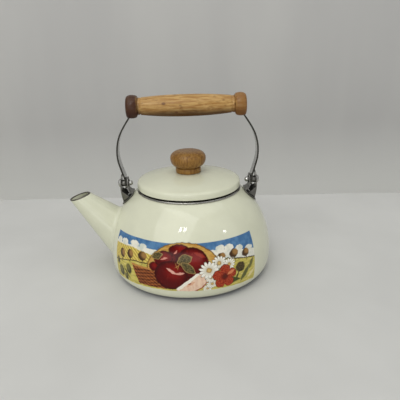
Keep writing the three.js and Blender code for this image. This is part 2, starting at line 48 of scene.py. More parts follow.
# ---- Dimensions, in millimetres, the same as the CAD part's ----
WALL = 1.2
BODY = Sizes(
    base=68.8,
    belly=93.9,
    belly_z=24.8,
    neck=58.2,
    neck_z=97.7,
    lower=2.95,
    upper=2.13,
    lip=56.6,
    lip_z=100.0,
)
PAN = Sizes(radius=66.0, lap=71.0, lap_bottom=1.5)
RING = Sizes(bead=59.3, outer=57.6, inner=54.1, top=101.0, skirt=95.4)
MOUTH = Vector((-127.3, 0.0, 89.7))
SPOUT = Sizes(elevation=44.5, tilt=17.5, radius=10.6, half_angle=13.3, rim=1.2, overhang=0.12, fillet=4.0)
LID = Sizes(radius=59.0, skirt=101.7, shoulder=56.4, shoulder_z=109.0, seat=15.0, seat_z=116.0)
PLUG = Sizes(outer=53.2, inner=52.2, bottom=93.5, bead=56.9)
KNOB = Sizes(foot=14.3, foot_top=122.2, groove=13.5, bulb=20.2, bulb_z=132.6, top=141.2)
HINGE_Z = 105.0
STRAP = Sizes(width=13.5, thickness=1.8, level=185.45)
STRAP_ARM = [
    (71.7, 97.0), (71.7, 109.0), (74.9, 120.5), (77.9, 132.5), (78.3, 143.5), (76.3, 155.0),
    (72.2, 165.0), (66.0, 175.0), (60.5, 182.8),
]
GRIP = Sizes(
    z=190.65,
    half=65.2,
    bead=12.6,
    bead_radius=13.1,
    collar=3.4,
    collar_radius=10.0,
    end=10.3,
    barrel=12.5,
)
GRIP_SCREW_X = 30.0
EAR = Sizes(thickness=1.2, outer_x=77.3, inner_x=69.6)
OUTER_CHEEK = [(75.6, 83.4), (76.6, 90.0), (77.3, 97.0), (77.3, 105.0), (76.9, 111.0), (75.6, 116.2)]
INNER_CHEEK = [(63.9, 94.8), (66.4, 95.2), (68.7, 97.2), (69.6, 100.4), (69.6, 112.4)]
PIN = Sizes(radius=2.2, head=4.7, head_height=2.9, tail=3.0, tail_height=3.2)
BURR = Sizes(radius=4.2, thickness=0.8)
SPACER = 3.8
RIVET = Sizes(radius=1.3, head=2.3, head_height=1.2, seat=71.0, y=3.2)
GAP = 0.3
LID_BORE = 2.25  # the screw hole through the lid and into the knob
SWEEP = 160  # steps round a large turned piece
HAND = {-1: "left", 1: "right"}
ACROSS = (-1.0, -0.9, -0.5, 0.0, 0.5, 0.9, 1.0)  # columns of a sheet, as shares of its half-width

# ---- Colours ----


def srgb(red, green, blue):
    """A display colour, 0 to 255, as the linear colour a shader takes."""
    linear = []
    for channel in (red, green, blue):
        value = channel / 255
        linear.append(value / 12.92 if value <= 0.04045 else ((value + 0.055) / 1.055) ** 2.4)
    return (*linear, 1.0)


# ---- Node arithmetic ----
NOISE_ROUGHNESS = 0.55


class Field:
    """A number that varies over a surface, so that a pattern can be written as arithmetic."""

    def __init__(self, paint, socket):
        self.paint = paint
        self.socket = socket

    def __add__(self, other):
        return self.paint.math("ADD", self, other)

    def __sub__(self, other):
        return self.paint.math("SUBTRACT", self, other)

    def __rsub__(self, other):
        return self.paint.math("SUBTRACT", other, self)

    def __mul__(self, other):
        return self.paint.math("MULTIPLY", self, other)

    def __truediv__(self, other):
        return self.paint.math("DIVIDE", self, other)

    def __pow__(self, other):
        return self.paint.math("POWER", self, other)

    def __abs__(self):
        return self.paint.math("ABSOLUTE", self)

    def sine(self):
        return self.paint.math("SINE", self)

    def most(self, other):
        return self.paint.math("MAXIMUM", self, other)

    def least(self, other):
        return self.paint.math("MINIMUM", self, other)


class Paint:
    """A material and its node tree, with one Principled shader."""

    def __init__(self, name):
        self.material = bpy.data.materials.new(name)
        self.material.use_nodes = True
        self.tree = self.material.node_tree
        self.shader = self.tree.nodes["Principled BSDF"]
        self.coordinates = self.tree.nodes.new("ShaderNodeTexCoord").outputs["Object"]

    def node(self, kind, **settings):
        made = self.tree.nodes.new(kind)
        for key, value in settings.items():
            setattr(made, key, value)
        return made

    def plug(self, value, socket):
        if isinstance(value, Field):
            value = value.socket
        if isinstance(value, bpy.types.NodeSocket):
            self.tree.links.new(value, socket)
        else:
            socket.default_value = value

    def math(self, operation, *values):
        made = self.node("ShaderNodeMath", operation=operation)
        for index, value in enumerate(values):
            self.plug(value, made.inputs[index])
        return Field(self, made.outputs[0])

    def axes(self):
        """The object coordinates in millimetres, as three fields."""
        made = self.node("ShaderNodeSeparateXYZ")
        self.plug(self.millimetres(), made.inputs[0])
        return [Field(self, output) for output in made.outputs]

    def combine(self, x, y):
        made = self.node("ShaderNodeCombineXYZ")
        self.plug(x, made.inputs[0])
        self.plug(y, made.inputs[1])
        return made.outputs[0]

    def millimetres(self, scale=(1, 1, 1)):
        """The object coordinates in millimetres, each times its own scale."""
        made = self.node("ShaderNodeVectorMath", operation="MULTIPLY")
        self.plug(self.coordinates, made.inputs[0])
        self.plug(tuple(1000 * s for s in scale), made.inputs[1])
        return made.outputs["Vector"]

    def noise(self, vector, scale, detail=3.0):
        made = self.node("ShaderNodeTexNoise")
        self.plug(vector, made.inputs["Vector"])
        for name, value in (("Scale", scale), ("Detail", detail), ("Roughness", NOISE_ROUGHNESS)):
            made.inputs[name].default_value = value
        return Field(self, made.outputs[0])

    def spread(self, value, low, high, to_low=0.0, to_high=1.0):
        """The value's range from `low` to `high`, spread over `to_low` to `to_high` and clamped."""
        made = self.node("ShaderNodeMapRange", interpolation_type="SMOOTHSTEP")
        self.plug(value, made.inputs[0])
        for index, limit in enumerate((low, high, to_low, to_high)):
            made.inputs[index + 1].default_value = limit
        return Field(self, made.outputs[0])

    def mix(self, amount, below, above):
        made = self.node("ShaderNodeMix", data_type="RGBA")
        self.plug(amount, made.inputs["Factor"])
        self.plug(below, made.inputs[6])
        self.plug(above, made.inputs[7])
        return made.outputs[2]

    def bump(self, height, distance, strength):
        made = self.node("ShaderNodeBump")
        made.inputs["Strength"].default_value = strength
        made.inputs["Distance"].default_value = distance
        self.plug(height, made.inputs["Height"])
        return made.outputs[0]

    def finish(self, **sockets):
        for name, value in sockets.items():
            self.plug(value, self.shader.inputs[name.replace("_", " ")])
        return self.material


# ---- The printed picture: a generic orchard still life ----
ARC = 90.0  # millimetres of arc for one radian of azimuth
WOBBLE = 2.2  # how far the painted outlines stray, in millimetres
ARCH = ((-9.0, 40.0), (37.8, 27.0), 2.0)  # the basket's handle: centre, half-sizes, lean
CLOUDS = (
    ((-93.0, 55.5), (4.6, 3.4)), ((-82.0, 56.8), (5.6, 3.2)), ((-66.0, 59.0), (6.6, 3.2)),
    ((-54.0, 58.6), (4.6, 2.6)), ((31.0, 58.6), (5.0, 2.8)), ((41.0, 57.4), (5.4, 3.2)),
    ((53.0, 54.0), (5.0, 3.0)), ((66.0, 50.5), (5.6, 3.2)),
)
TREES = (
    (-83.5, 44.0, 4.4, 5.0), (-70.5, 47.0, 4.8, 4.8), (-53.5, 49.0, 5.6, 4.6),
    (31.0, 50.2, 4.8, 3.8), (45.5, 50.6, 5.4, 4.2), (60.5, 47.4, 5.0, 4.2),
)
BUSHES = ((-85.0, 23.0, 4.6), (-72.0, 29.5, 4.2), (-77.0, 18.5, 3.0), (-92.0, 33.0, 3.0))
# Leaf shapes in one colour: centre, length, width, turn, blur where it isn't 0.4, and the colour.
STALKS = (
    ((-76.0, 24.0), 17.0, 2.2, -48.0, (70, 68, 38)), ((48.5, 26.5), 18.0, 2.0, 64.0, (74, 68, 36)),
)
BLADES = (
    ((58.0, 24.8), 20.0, 5.4, 52.0, 0.8, (96, 98, 54)),
    ((67.0, 33.0), 13.0, 4.4, 58.0, 0.8, (110, 108, 58)),
    ((67.0, 21.5), 14.0, 3.8, 35.0, 0.9, (226, 212, 152)),
)
GLEAMS = (
    ((-20.5, 38.2), 12.0, 2.8, -32.0, (226, 172, 154)),
    ((-12.0, 35.9), 10.0, 2.4, 8.0, (220, 160, 142)),
    ((-28.0, 50.5), 8.0, 1.8, 16.0, (212, 140, 122)),
    ((-16.0, 57.5), 4.4, 1.6, 40.0, (206, 130, 112)),
)
STEMS = (
    ((-14.0, 44.0), 8.5, 0.8, 38.0, (168, 122, 66)),
    ((-12.8, 44.0), 8.5, 0.8, 72.0, (168, 122, 66)),
    ((-15.2, 44.0), 8.5, 0.8, 110.0, (168, 122, 66)),
)
CORE = (
    ((-1.5, 24.0), 11.0, 3.0, 32.0, (220, 172, 140)), ((-2.4, 24.6), 3.4, 1.7, 30.0, (150, 56, 40)),
)
FLOWER_LEAVES = (
    ((38.0, 23.0), 30.0, 7.0, -12.0, 0.8, (70, 76, 34)),
    ((22.0, 30.0), 20.0, 8.0, 56.0, 0.8, (66, 66, 34)),
)
APPLE_LEAVES = (
    ((-7.0, 50.0), 15.0, 9.6, 22.0), ((-3.5, 41.6), 17.0, 7.2, -40.0),
    ((-36.0, 52.5), 12.0, 6.0, 20.0),
)
DAISIES = (
    ((28.0, 44.0), 8.0, 10.0, 0.9), ((38.6, 40.4), 7.0, 40.0, 0.9), ((15.2, 18.0), 4.8, 20.0, 0.9),
    ((20.0, 22.4), 5.8, 0.0, 0.8), ((19.0, 30.0), 6.2, 50.0, 0.8), ((17.0, 37.9), 10.0, 0.0, 0.92),
)
DAISY_PETALS = 13


class Picture:
    """Layers of flat shapes painted over one another in (arc, height) millimetres."""

    def __init__(self, paint):
        self.paint = paint
        x, y, z = paint.axes()
        self.exact_arc = paint.math("ARCTAN2", x, y * -1.0) * ARC
        self.exact_height = z
        # Every noise is taken at the undistorted place and shared between the layers.
        self.fine = paint.noise(paint.millimetres(), 0.8)
        self.patchy = paint.noise(paint.millimetres(), 0.16)
        self.swell = self.grain(0.1, 0.05, 1.1)
        self.level = self.grain(0.07, 0.5)
        self.rise = self.grain(0.35, 0.14)
        self.cane = self.grain(0.16, 1.3)
        along = paint.noise(paint.millimetres(), 0.35, 2.0)
        upward = paint.noise(paint.millimetres((1.0, 1.0, 1.1)), 0.31, 2.0)
        self.arc = self.exact_arc + (along - 0.5) * WOBBLE
        self.height = z + (upward - 0.5) * WOBBLE
        self.colour = None

    def grain(self, by_arc, by_height, scale=1.0):
        """Noise with its own stretch along the arc and along the height."""
        place = self.paint.combine(self.exact_arc * by_arc, self.exact_height * by_height)
        return self.paint.noise(place, scale)

    def local(self, centre, size, turn=0.0):
        """Coordinates from the shape's centre along its own axes, 1 at its half-size."""
        along, aside = cos(radians(turn)), sin(radians(turn))
        out = []
        for by_arc, by_height, half in ((along, aside, size[0]), (-aside, along, size[1])):
            start = -(centre[0] * by_arc + centre[1] * by_height) / half
            partial = self.paint.math("MULTIPLY_ADD", self.height, by_height / half, start)
            out.append(self.paint.math("MULTIPLY_ADD", self.arc, by_arc / half, partial))
        return out

    def length(self, u, v):
        return self.paint.math("SQRT", self.paint.math("MULTIPLY_ADD", u, u, v * v))

    def ellipse(self, centre, size, turn=0.0, blur=0.5):
        """How far a point lies from the ellipse's centre, and the ellipse's mask."""
        distance = self.length(*self.local(centre, size, turn))
        edge = blur / min(size)
        return distance, self.paint.spread(distance, 1.0 + edge, 1.0 - edge)

    def leaf(self, centre, length, width, turn=0.0, blur=0.4):
        """A shape pointed at both ends."""
        u, v = self.local(centre, (length / 2, width / 2), turn)
        reach = self.paint.math("MULTIPLY_ADD", u, u, abs(v))
        edge = min(2 * blur / width, 0.6)
        return self.paint.spread(reach, 1.0 + edge, 1.0 - edge)

    def petals(self, centre, radius, count, turn, notch, squash=1.0, blur=0.4):
        """A flower with round petals: distance from the centre, and mask."""
        x, y = self.local(centre, (radius, radius * squash), turn)
        distance = self.length(x, y)
        wave = self.paint.math("COSINE", self.paint.math("ARCTAN2", y, x) * (count / 2))
        reach = self.paint.math("MULTIPLY_ADD", abs(wave) ** 0.45, -notch, distance)
        edge = blur / radius
        return distance, self.paint.spread(reach, 1.0 - notch + edge, 1.0 - notch - edge)

    def tone(self, field, low, high, below, above):
        """A colour that changes from `below` to `above` as the field does from low to high."""
        return self.paint.mix(self.paint.spread(field, low, high), srgb(*below), srgb(*above))

    def lay(self, mask, colour):
        if isinstance(colour, tuple):
            colour = srgb(*colour)
        self.colour = colour if self.colour is None else self.paint.mix(mask, self.colour, colour)

    def blob(self, *place, colour):
        """Lays a whole ellipse."""
        self.lay(self.ellipse(*place)[1], colour)

    def strokes(self, rows):
        """Lays leaf shapes from a table whose rows end with the colour."""
        for *place, colour in rows:
            self.lay(self.leaf(*place), colour)


def paint_sky_and_field(art):
    paint = art.paint
    height, arc = art.height, art.arc
    art.lay(None, art.tone(art.patchy, 0.3, 0.7, (64, 106, 150), (92, 134, 174)))
    falling = (-55.0 - arc).most(0.0) * 0.093 + (arc - 30.0).most(0.0) * 0.233
    haze = art.tone(art.patchy, 0.35, 0.7, (238, 234, 218), (208, 212, 198))
    art.lay(paint.spread(height + falling, 58.2, 57.4), haze)
    for centre, size in CLOUDS:
        art.blob(centre, size, 0.0, 0.4, colour=haze)
    summit = abs(arc + 67.0) * -0.1 + 55.0
    hill = paint.spread(height - summit, 0.5, -0.5)
    rows = ((arc * 0.9 + height * 1.3) * 1.3).sine()
    field = art.tone(rows, -0.2, 0.9, (222, 200, 104), (176, 150, 62))
    art.lay(hill * paint.spread(arc, -38.0, -42.0), field)
    rising = (arc * 0.286 + 60.1).least(arc * 0.056 + 45.1)
    bank = rising.least(arc * -0.232 + 55.7)
    meadow = paint.spread(height - bank, 0.5, -0.5)
    art.lay(meadow, art.tone(art.level, 0.35, 0.65, (212, 196, 98), (180, 168, 78)))
    art.lay(meadow * paint.spread(art.cane, 0.56, 0.68), (228, 214, 146))
    art.lay(paint.spread(abs(height - bank), 0.9, 0.3), (84, 70, 40))


def paint_trees(art):
    for arc, height, wide, tall in TREES:
        art.lay(art.leaf((arc + 0.4, height - tall - 1.0), 9.0, 1.1, 90.0), (70, 56, 30))
        shade, _ = art.ellipse((arc + 0.5 * wide, height + 0.3 * tall), (wide, tall))
        brown = art.tone(shade, 0.35, 1.1, (158, 118, 66), (72, 50, 28))
        art.blob((arc, height), (wide, tall), 8.0, colour=brown)
    for arc, height, size in BUSHES:
        half = (size, size * 1.35)
        shade, _ = art.ellipse((arc - 1.0, height + 1.5), half, 12.0)
        green = art.tone(shade, 0.2, 1.1, (116, 108, 62), (60, 60, 36))
        art.blob((arc, height), half, 12.0, 0.9, colour=green)
    art.strokes(STALKS)
    seeds = art.tone(art.fine, 0.4, 0.6, (50, 44, 26), (92, 76, 42))
    art.blob((52.0, 34.0), (5.8, 5.8), 0.0, 0.8, colour=seeds)
    art.strokes(BLADES)


def paint_basket(art):
    paint = art.paint
    arch, mask = art.ellipse(*ARCH)
    straw = art.tone(art.level, 0.3, 0.7, (182, 128, 56), (208, 170, 92))
    inner = paint.mix(paint.spread(arch, 0.93, 0.60), straw, srgb(216, 194, 112))
    inner = paint.mix(paint.spread(arch, 0.95, 0.985), inner, srgb(112, 84, 36))
    art.lay(mask * paint.spread(art.height, 27.0, 31.0), inner)
    v = (art.height - 27.7) / 10.3
    u = (art.arc + v * 4.8 + 46.2) / 16.0
    side = abs(u).most(abs(v))
    crossing = (art.height * 1.7 + art.arc * 0.45 + art.rise * 4.0).sine()
    weave = (art.arc * 0.8).sine() * crossing * 0.6 + art.cane
    cane = art.tone(weave, 0.1, 0.95, (78, 34, 16), (164, 92, 44))
    art.lay(paint.spread(side, 1.03, 0.97), cane)
    rim = abs(v - 0.93)
    art.lay(paint.spread(side, 1.06, 1.0) * paint.spread(rim, 0.16, 0.08), (188, 130, 66))


def paint_apple(art, centre, size, turn, glow):
    paint = art.paint
    distance, mask = art.ellipse(centre, size, turn)
    lit = (centre[0] + 0.18 * size[0], centre[1] + 0.25 * size[1])
    light, _ = art.ellipse(lit, size, turn)
    flesh = art.tone(light, 0.0, 0.85, (132, 17, 10), (86, 3, 3))
    flesh = paint.mix(paint.spread(distance, 0.72, 1.05), flesh, srgb(54, 3, 3))
    flesh = paint.mix(paint.spread(art.rise, 0.6, 0.75) * glow, flesh, srgb(170, 58, 36))
    art.lay(mask, flesh)


def paint_fruit(art):
    heap = art.tone(art.rise, 0.3, 0.7, (70, 6, 6), (112, 18, 12))
    art.blob((-8.0, 42.5), (22.0, 15.0), 0.0, 0.6, colour=heap)
    paint_apple(art, (-39.0, 41.0), (5.2, 4.8), 0.0, 0.5)
    paint_apple(art, (-13.0, 59.6), (11.0, 5.6), 4.0, 0.2)
    paint_apple(art, (-28.5, 50.0), (10.6, 8.2), 8.0, 0.7)
    paint_apple(art, (0.5, 46.6), (17.0, 15.6), -12.0, 0.7)
    art.lay(art.leaf((8.5, 54.5), 13.0, 3.6, -24.0, 0.8), (150, 46, 32))
    paint_apple(art, (-21.0, 33.2), (16.8, 15.8), 0.0, 0.15)
    art.strokes(GLEAMS)
    for centre, length, width, turn in APPLE_LEAVES:
        art.lay(art.leaf(centre, length + 1.8, width + 1.3, turn), (160, 132, 80))
        green = art.tone(art.fine, 0.35, 0.65, (60, 54, 32), (116, 102, 62))
        art.lay(art.leaf(centre, length, width, turn), green)
    art.strokes(STEMS)


def paint_slice(art):
    """A half-moon slice: red skin below, pale flesh, a bright upper rim and the core."""
    paint = art.paint
    depth = (art.arc + 16.5) * 0.643 - (art.height - 18.0) * 0.766
    below = paint.spread(depth, -0.3, 0.3)
    _, skin = art.ellipse((0.4, 24.4), (17.2, 9.4), 25.0)
    art.lay(skin * below, (150, 48, 32))
    _, flesh = art.ellipse((-0.2, 24.8), (16.6, 8.9), 25.0)
    art.lay(flesh * below, art.tone(art.rise, 0.35, 0.7, (236, 208, 182), (222, 184, 158)))
    art.lay(flesh * below * paint.spread(depth, 3.4, 2.6), (240, 236, 220))
    art.strokes(CORE)


def paint_flowers(art):
    paint = art.paint
    art.strokes(FLOWER_LEAVES)
    for centre, radius, turn, squash in DAISIES:
        _, shadow = art.petals(centre, radius * 1.08, DAISY_PETALS, turn, 0.55, squash)
        art.lay(shadow, (110, 104, 76))
        distance, mask = art.petals(centre, radius, DAISY_PETALS, turn, 0.6, squash)
        art.lay(mask, art.tone(distance, 0.2, 0.8, (206, 200, 176), (242, 240, 228)))
        eye, heart = art.ellipse(centre, (0.27 * radius, 0.25 * radius), 0.0, 0.4)
        art.lay(heart, art.tone(eye, 0.2, 1.0, (214, 184, 112), (168, 126, 66)))
    centre = (33.4, 28.2)
    _, rim = art.petals(centre, 13.4, 5, 16.0, 0.42)
    art.lay(rim, (104, 28, 16))
    distance, mask = art.petals(centre, 12.7, 5, 16.0, 0.44)
    red = art.tone(art.fine, 0.35, 0.65, (138, 38, 22), (184, 76, 42))
    art.lay(mask, paint.mix(paint.spread(distance, 0.5, 0.08), red, srgb(90, 16, 12)))
    art.lay(art.leaf((40.4, 31.8), 10.0, 3.2, 24.0, 0.6), (214, 132, 88))
    art.blob(centre, (2.2, 2.0), colour=(92, 34, 20))


def picture_mask(art):
    """The picture's outline: leaning sides, a level top with the handle above it, a wavy bottom."""
    paint = art.paint
    arc, height = art.exact_arc, art.exact_height
    left = paint.spread(arc + height * 0.086 + 94.4, -0.3, 0.3)
    right = paint.spread(arc - height * 0.04 - 72.0, 0.3, -0.3)
    _, arch = art.ellipse(*ARCH)
    fall = (-60.0 - arc).most(0.0) * 0.04
    top = paint.spread(height + fall, 65.8, 65.2).most(arch)
    ground = (arc + 11.0) ** 2.0 * -0.00047 + art.swell * 2.5 + 14.6
    bottom = paint.spread(height - ground, -0.3, 0.3)
    return left * right * top * bottom


# ---- Materials ----
# Painted shade: the dark band round the base's corner, between these heights, stands in for the contact
# shadow there.
BASE_SHADE_BAND = (5.2, 4.0)  # heights over which the enamel gives way to the dark edge
SHADED_GAP_HEIGHT = 99.7
STRAP_SHADED_EDGE = 6.35


def enamel(name, base, picture=False):
    """Glossy fired enamel: faint mottling, orange peel, and the printed picture where asked."""
    paint = Paint(name)
    cloud = paint.noise(paint.millimetres(), 0.03)
    fleck = paint.noise(paint.millimetres(), 0.9, 2.0)
    colour = paint.mix(paint.spread(cloud, 0.3, 0.7), base, darker(base, 0.94))
    colour = paint.mix(paint.spread(fleck, 0.72, 0.8) * 0.18, colour, srgb(150, 138, 104))
    roughness = paint.spread(cloud, 0.3, 0.7, 0.05, 0.09)
    gloss = 0.5
    if picture:
        art = Picture(paint)
        for layer in (
            paint_sky_and_field,
            paint_trees,
            paint_basket,
            paint_fruit,
            paint_slice,
            paint_flowers,
        ):
            layer(art)
        mask = picture_mask(art)
        colour = paint.mix(mask, colour, art.colour)
        roughness = roughness + mask * 0.06
        gloss = 0.5 - mask * 0.28
        # Painted shade: a dark blue-grey band round the base's corner stands in for the contact shadow and
        # dark reflection under the overhanging belly.
        colour = paint.mix(paint.spread(art.exact_height, *BASE_SHADE_BAND), colour, srgb(92, 98, 106))
    peel = paint.noise(paint.millimetres(), 0.22, 2.0)
    return paint.finish(
        Base_Color=colour,
        Roughness=roughness,
        Specular_IOR_Level=gloss,
        Normal=paint.bump(peel, 0.0006, 0.05),
    )


def darker(colour, share):
    return tuple(channel * share for channel in colour[:3]) + (1.0,)


def steel(name, colour, roughness, grain, stain, edges=None, shaded_above=None):
    """Plated or stamped steel: drawn grain, a little staining and uneven gloss. Where `edges` is given,
    the strap's edges beyond that distance from the middle plane, in millimetres along Y, are painted
    darker, as painted shade for the dark reflections along them. Above the seam's given height the steel
    is painted near-black, as painted shade in the gap under the lid."""
    paint = Paint(name)
    brushed = paint.noise(paint.millimetres(grain), 1.6)
    blot = paint.noise(paint.millimetres(), 0.16, 4.0)
    dark = darker(colour, 0.45)
    shade = paint.mix(paint.spread(blot, 0.45, 0.75) * stain, colour, dark)
    shade = paint.mix(paint.spread(brushed, 0.3, 0.7) * 0.2, shade, dark)
    # Painted shade: the strap's edges are darkened to stand in for the dark reflections along them.
    if edges is not None:
        aside = abs(paint.axes()[1])
        shade = paint.mix(paint.spread(aside, edges - 0.15, edges + 0.15), shade, srgb(70, 69, 64))
    # Painted shade: near-black above the given height, for the shadow gap under the lid.
    if shaded_above is not None:
        height = paint.axes()[2]
        shade = paint.mix(paint.spread(height, shaded_above - 0.1, shaded_above + 0.1), shade, srgb(22, 21, 19))
    gloss = paint.spread(brushed * 0.6 + blot * 0.4, 0.3, 0.7, roughness * 0.8, roughness * 1.3)
    return paint.finish(
        Base_Color=shade,
        Roughness=gloss,
        Metallic=1.0,
        Normal=paint.bump(brushed, 0.0002, 0.12),
    )


def wood(name, along, light, dark):
    """Oiled turned wood, mottled between two colours. `along` is 0, 1 or 2, the grain's axis."""
    paint = Paint(name)

    def grain(stretch, scale, detail):
        place = paint.millimetres([stretch if index == along else 1.0 for index in range(3)])
        return paint.noise(place, scale, detail)

    streak = grain(0.12, 0.5, 4.0)
    fibre = grain(0.03, 3.2, 2.0)
    patch = grain(1.0, 0.06, 3.0)
    fleck = grain(0.4, 0.3, 3.0)
    colour = paint.mix(paint.spread(streak, 0.35, 0.68), light, dark)
    colour = paint.mix(paint.spread(fleck, 0.55, 0.72) * 0.6, colour, srgb(104, 64, 26))
    colour = paint.mix(paint.spread(fibre, 0.58, 0.74) * 0.5, colour, srgb(88, 50, 20))
    colour = paint.mix(paint.spread(patch, 0.5, 0.75) * 0.4, colour, dark)
    if along == 0:
        # The grip: painted darker underneath, partly painted shade for the side that the light from above
        # misses and partly the wood's scorched brown; nearly black-red at the left bead.
        x, _, z = paint.axes()
        under = paint.spread(z + (patch - 0.5) * 6.0, GRIP.z + 1.0, GRIP.z - 8.0)
        colour = paint.mix(under * 0.9, colour, srgb(64, 34, 8))
        ragged = x + (patch - 0.5) * 10.0
        colour = paint.mix(paint.spread(ragged, -49.0, -54.0) * 0.94, colour, srgb(54, 18, 5))
        colour = paint.mix(paint.spread(ragged, 47.0, 54.0) * 0.7, colour, srgb(124, 78, 28))
        knot = paint.node("ShaderNodeTexVoronoi")
        paint.plug(paint.millimetres((0.6, 1.0, 1.0)), knot.inputs["Vector"])
        knot.inputs["Scale"].default_value = 0.085
        spot = paint.spread(Field(paint, knot.outputs["Distance"]), 0.16, 0.06)
        colour = paint.mix(spot * 0.75, colour, srgb(84, 44, 18))
    return paint.finish(
        Base_Color=colour,
        Roughness=paint.spread(fibre, 0.3, 0.8, 0.36, 0.48),
        Normal=paint.bump(fibre, 0.0003, 0.25),
        Specular_IOR_Level=0.14,
        Coat_Weight=0.35,
        Coat_Roughness=0.26,
    )


# ---- Mesh work, with shapes in millimetres as (vertices, faces) ----
SHARP_ANGLE = 35.0
BEVEL_ANGLE = 50.0


def curve(start, corner, end, t):
    """A point on the curve that leaves `start` and reaches `end` along the lines to the corner."""
    return start * (1 - t) ** 2 + corner * (2 * t * (1 - t)) + end * t**2


def quarter(step, steps):
    """The angle of one step of a quarter turn."""
    return step / steps * pi / 2


def rounded(points, radius, closed=True, steps=4):
    """The outline with its corners rounded. A point's third number is its own radius."""
    out = []
    count = len(points)
    for index, point in enumerate(points):
        here = Vector(point[:2])
        reach = point[2] if len(point) > 2 else radius
        if not closed and index in (0, count - 1):
            out.append(tuple(here))
            continue
        before = Vector(points[index - 1][:2]) - here
        after = Vector(points[(index + 1) % count][:2]) - here
        reach = min(reach, 0.49 * before.length, 0.49 * after.length)
        start = here + before.normalized() * reach
        end = here + after.normalized() * reach
        out += [tuple(curve(start, here, end, step / steps)) for step in range(steps + 1)]
    return out


def lathe(profile, segments=128, closed=True):
    """Vertices and faces of an outline of (radius, height) turned round +Z."""
    vertices, faces, rings = [], [], []
    for radius, height in profile:
        first = len(vertices)
        if radius < 1e-4:
            rings.append([first])
            vertices.append(Vector((0.0, 0.0, height)))
            continue
        rings.append(list(range(first, first + segments)))
        for step in range(segments):
            angle = 2 * pi * step / segments
            vertices.append(Vector((radius * cos(angle), radius * sin(angle), height)))
    for low, high in zip(rings, rings[1:] + (rings[:1] if closed else [])):
        for step in range(segments):
            after = (step + 1) % segments
            corners = [
                low[step % len(low)],
                low[after % len(low)],
                high[after % len(high)],
                high[step % len(high)],
            ]
            corners = list(dict.fromkeys(corners))
            if len(corners) > 2:
                faces.append(corners)
    return vertices, faces


def placed(shape, origin, direction):
    """The shape with its +Z turned to `direction` and its origin moved to `origin`."""
    vertices, faces = shape
    turn = Vector(direction).normalized().to_track_quat("Z", "Y")
    return [turn @ vertex + Vector(origin) for vertex in vertices], faces


def grid_faces(rows, columns, wrap=False):
    faces = []
    for row in range(rows - 1):
        first, above = row * columns, (row + 1) * columns
        for column in range(columns if wrap else columns - 1):
            after = (column + 1) % columns
            faces.append((first + column, first + after, above + after, above + column))
    return faces


def tube(rings):
    """A closed skin over rings of points, the last ring joined to the first."""
    count = len(rings[0])
    faces = grid_faces(len(rings), count, wrap=True)
    last = (len(rings) - 1) * count
    for step in range(count):
        after = (step + 1) % count
        faces.append((last + step, last + after, after, step))
    return [point for ring in rings for point in ring], faces


def add(name, data):
    """A new object in the scene."""
    thing = bpy.data.objects.new(name, data)
    bpy.context.scene.collection.objects.link(thing)
    return thing


def discard(thing):
    mesh = thing.data
    bpy.data.objects.remove(thing)
    bpy.data.meshes.remove(mesh)


def build(name, shape, look):
    """A shaded mesh object from vertices in millimetres."""
    vertices, faces = shape
    mesh = bpy.data.meshes.new(name)
    places = [tuple(Vector(vertex) * MM) for vertex in vertices]
    mesh.from_pydata(places, [], [tuple(face) for face in faces])
    work = bmesh.new()
    work.from_mesh(mesh)
    bmesh.ops.recalc_face_normals(work, faces=work.faces)
    work.to_mesh(mesh)
    work.free()
    thing = add(name, mesh)
    mesh.materials.append(look)
    smooth(mesh)
    return thing


def smooth(mesh):
    mesh.polygons.foreach_set("use_smooth", [True] * len(mesh.polygons))
    mesh.set_sharp_from_angle(angle=radians(SHARP_ANGLE))


def applied(thing):
    """Bakes the object's modifiers into its mesh."""
    graph = bpy.context.evaluated_depsgraph_get()
    mesh = bpy.data.meshes.new_from_object(thing.evaluated_get(graph))
    old = thing.data
    thing.modifiers.clear()
    thing.data = mesh
    bpy.data.meshes.remove(old)
    smooth(mesh)
    return thing


def cut(thing, shape):
    """Cuts the closed shape out of the object."""
    cutter = build("cutter", shape, thing.data.materials[0])
    modifier = thing.modifiers.new("cut", "BOOLEAN")
    modifier.object = cutter
    modifier.operation = "DIFFERENCE"
    modifier.solver = "EXACT"
    applied(thing)
    discard(cutter)


def bevelled(thing, width, segments):
    """Rounds the object's sharp edges."""
    bevel = thing.modifiers.new("bevel", "BEVEL")
    bevel.width = width * MM
    bevel.segments = segments
    bevel.limit_method = "ANGLE"
    bevel.angle_limit = radians(BEVEL_ANGLE)
    return applied(thing)


def plate(name, rows, look, thickness, edge=0.35):
    """A bent sheet of the given thickness with rounded edges, from its middle surface."""
    points = [point for row in rows for point in row]
    thing = build(name, (points, grid_faces(len(rows), len(rows[0]))), look)
    solid = thing.modifiers.new("solid", "SOLIDIFY")
    solid.thickness = thickness * MM
    solid.offset = 0.0
    solid.use_even_offset = True
    return bevelled(thing, edge, 3)


def join(things, name):
    """One object from several."""
    work = bmesh.new()
    for thing in things:
        work.from_mesh(thing.data)
    mesh = bpy.data.meshes.new(name)
    work.to_mesh(mesh)
    work.free()
    mesh.materials.append(things[0].data.materials[0])
    whole = add(name, mesh)
    for thing in things:
        discard(thing)
    smooth(mesh)
    return whole


def fit(thing, body, node):
    """Ties a piece to its body and hides the CAD node that it stands for."""
    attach(thing, body)
    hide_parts(node)


def spline(points, count):
    """A smooth curve through evenly spaced points."""
    padded = [points[0], *points, points[-1]]
    out = []
    spans = len(points) - 1
    for step in range(count + 1):
        place = min(step / count * spans, spans - 1e-6)
        span = int(place)
        t = place - span
        a, b, c, d = (Vector(point) for point in padded[span : span + 4])
        bend = 2 * b + (c - a) * t + (2 * a - 5 * b + 4 * c - d) * t**2 + (3 * b - a - 3 * c + d) * t**3
        out.append(0.5 * bend)
    return out


# ---- The kettle's body ----


NARROWING = 1 - (BODY.neck / BODY.belly) ** 2
RISE = BODY.neck_z - BODY.belly_z


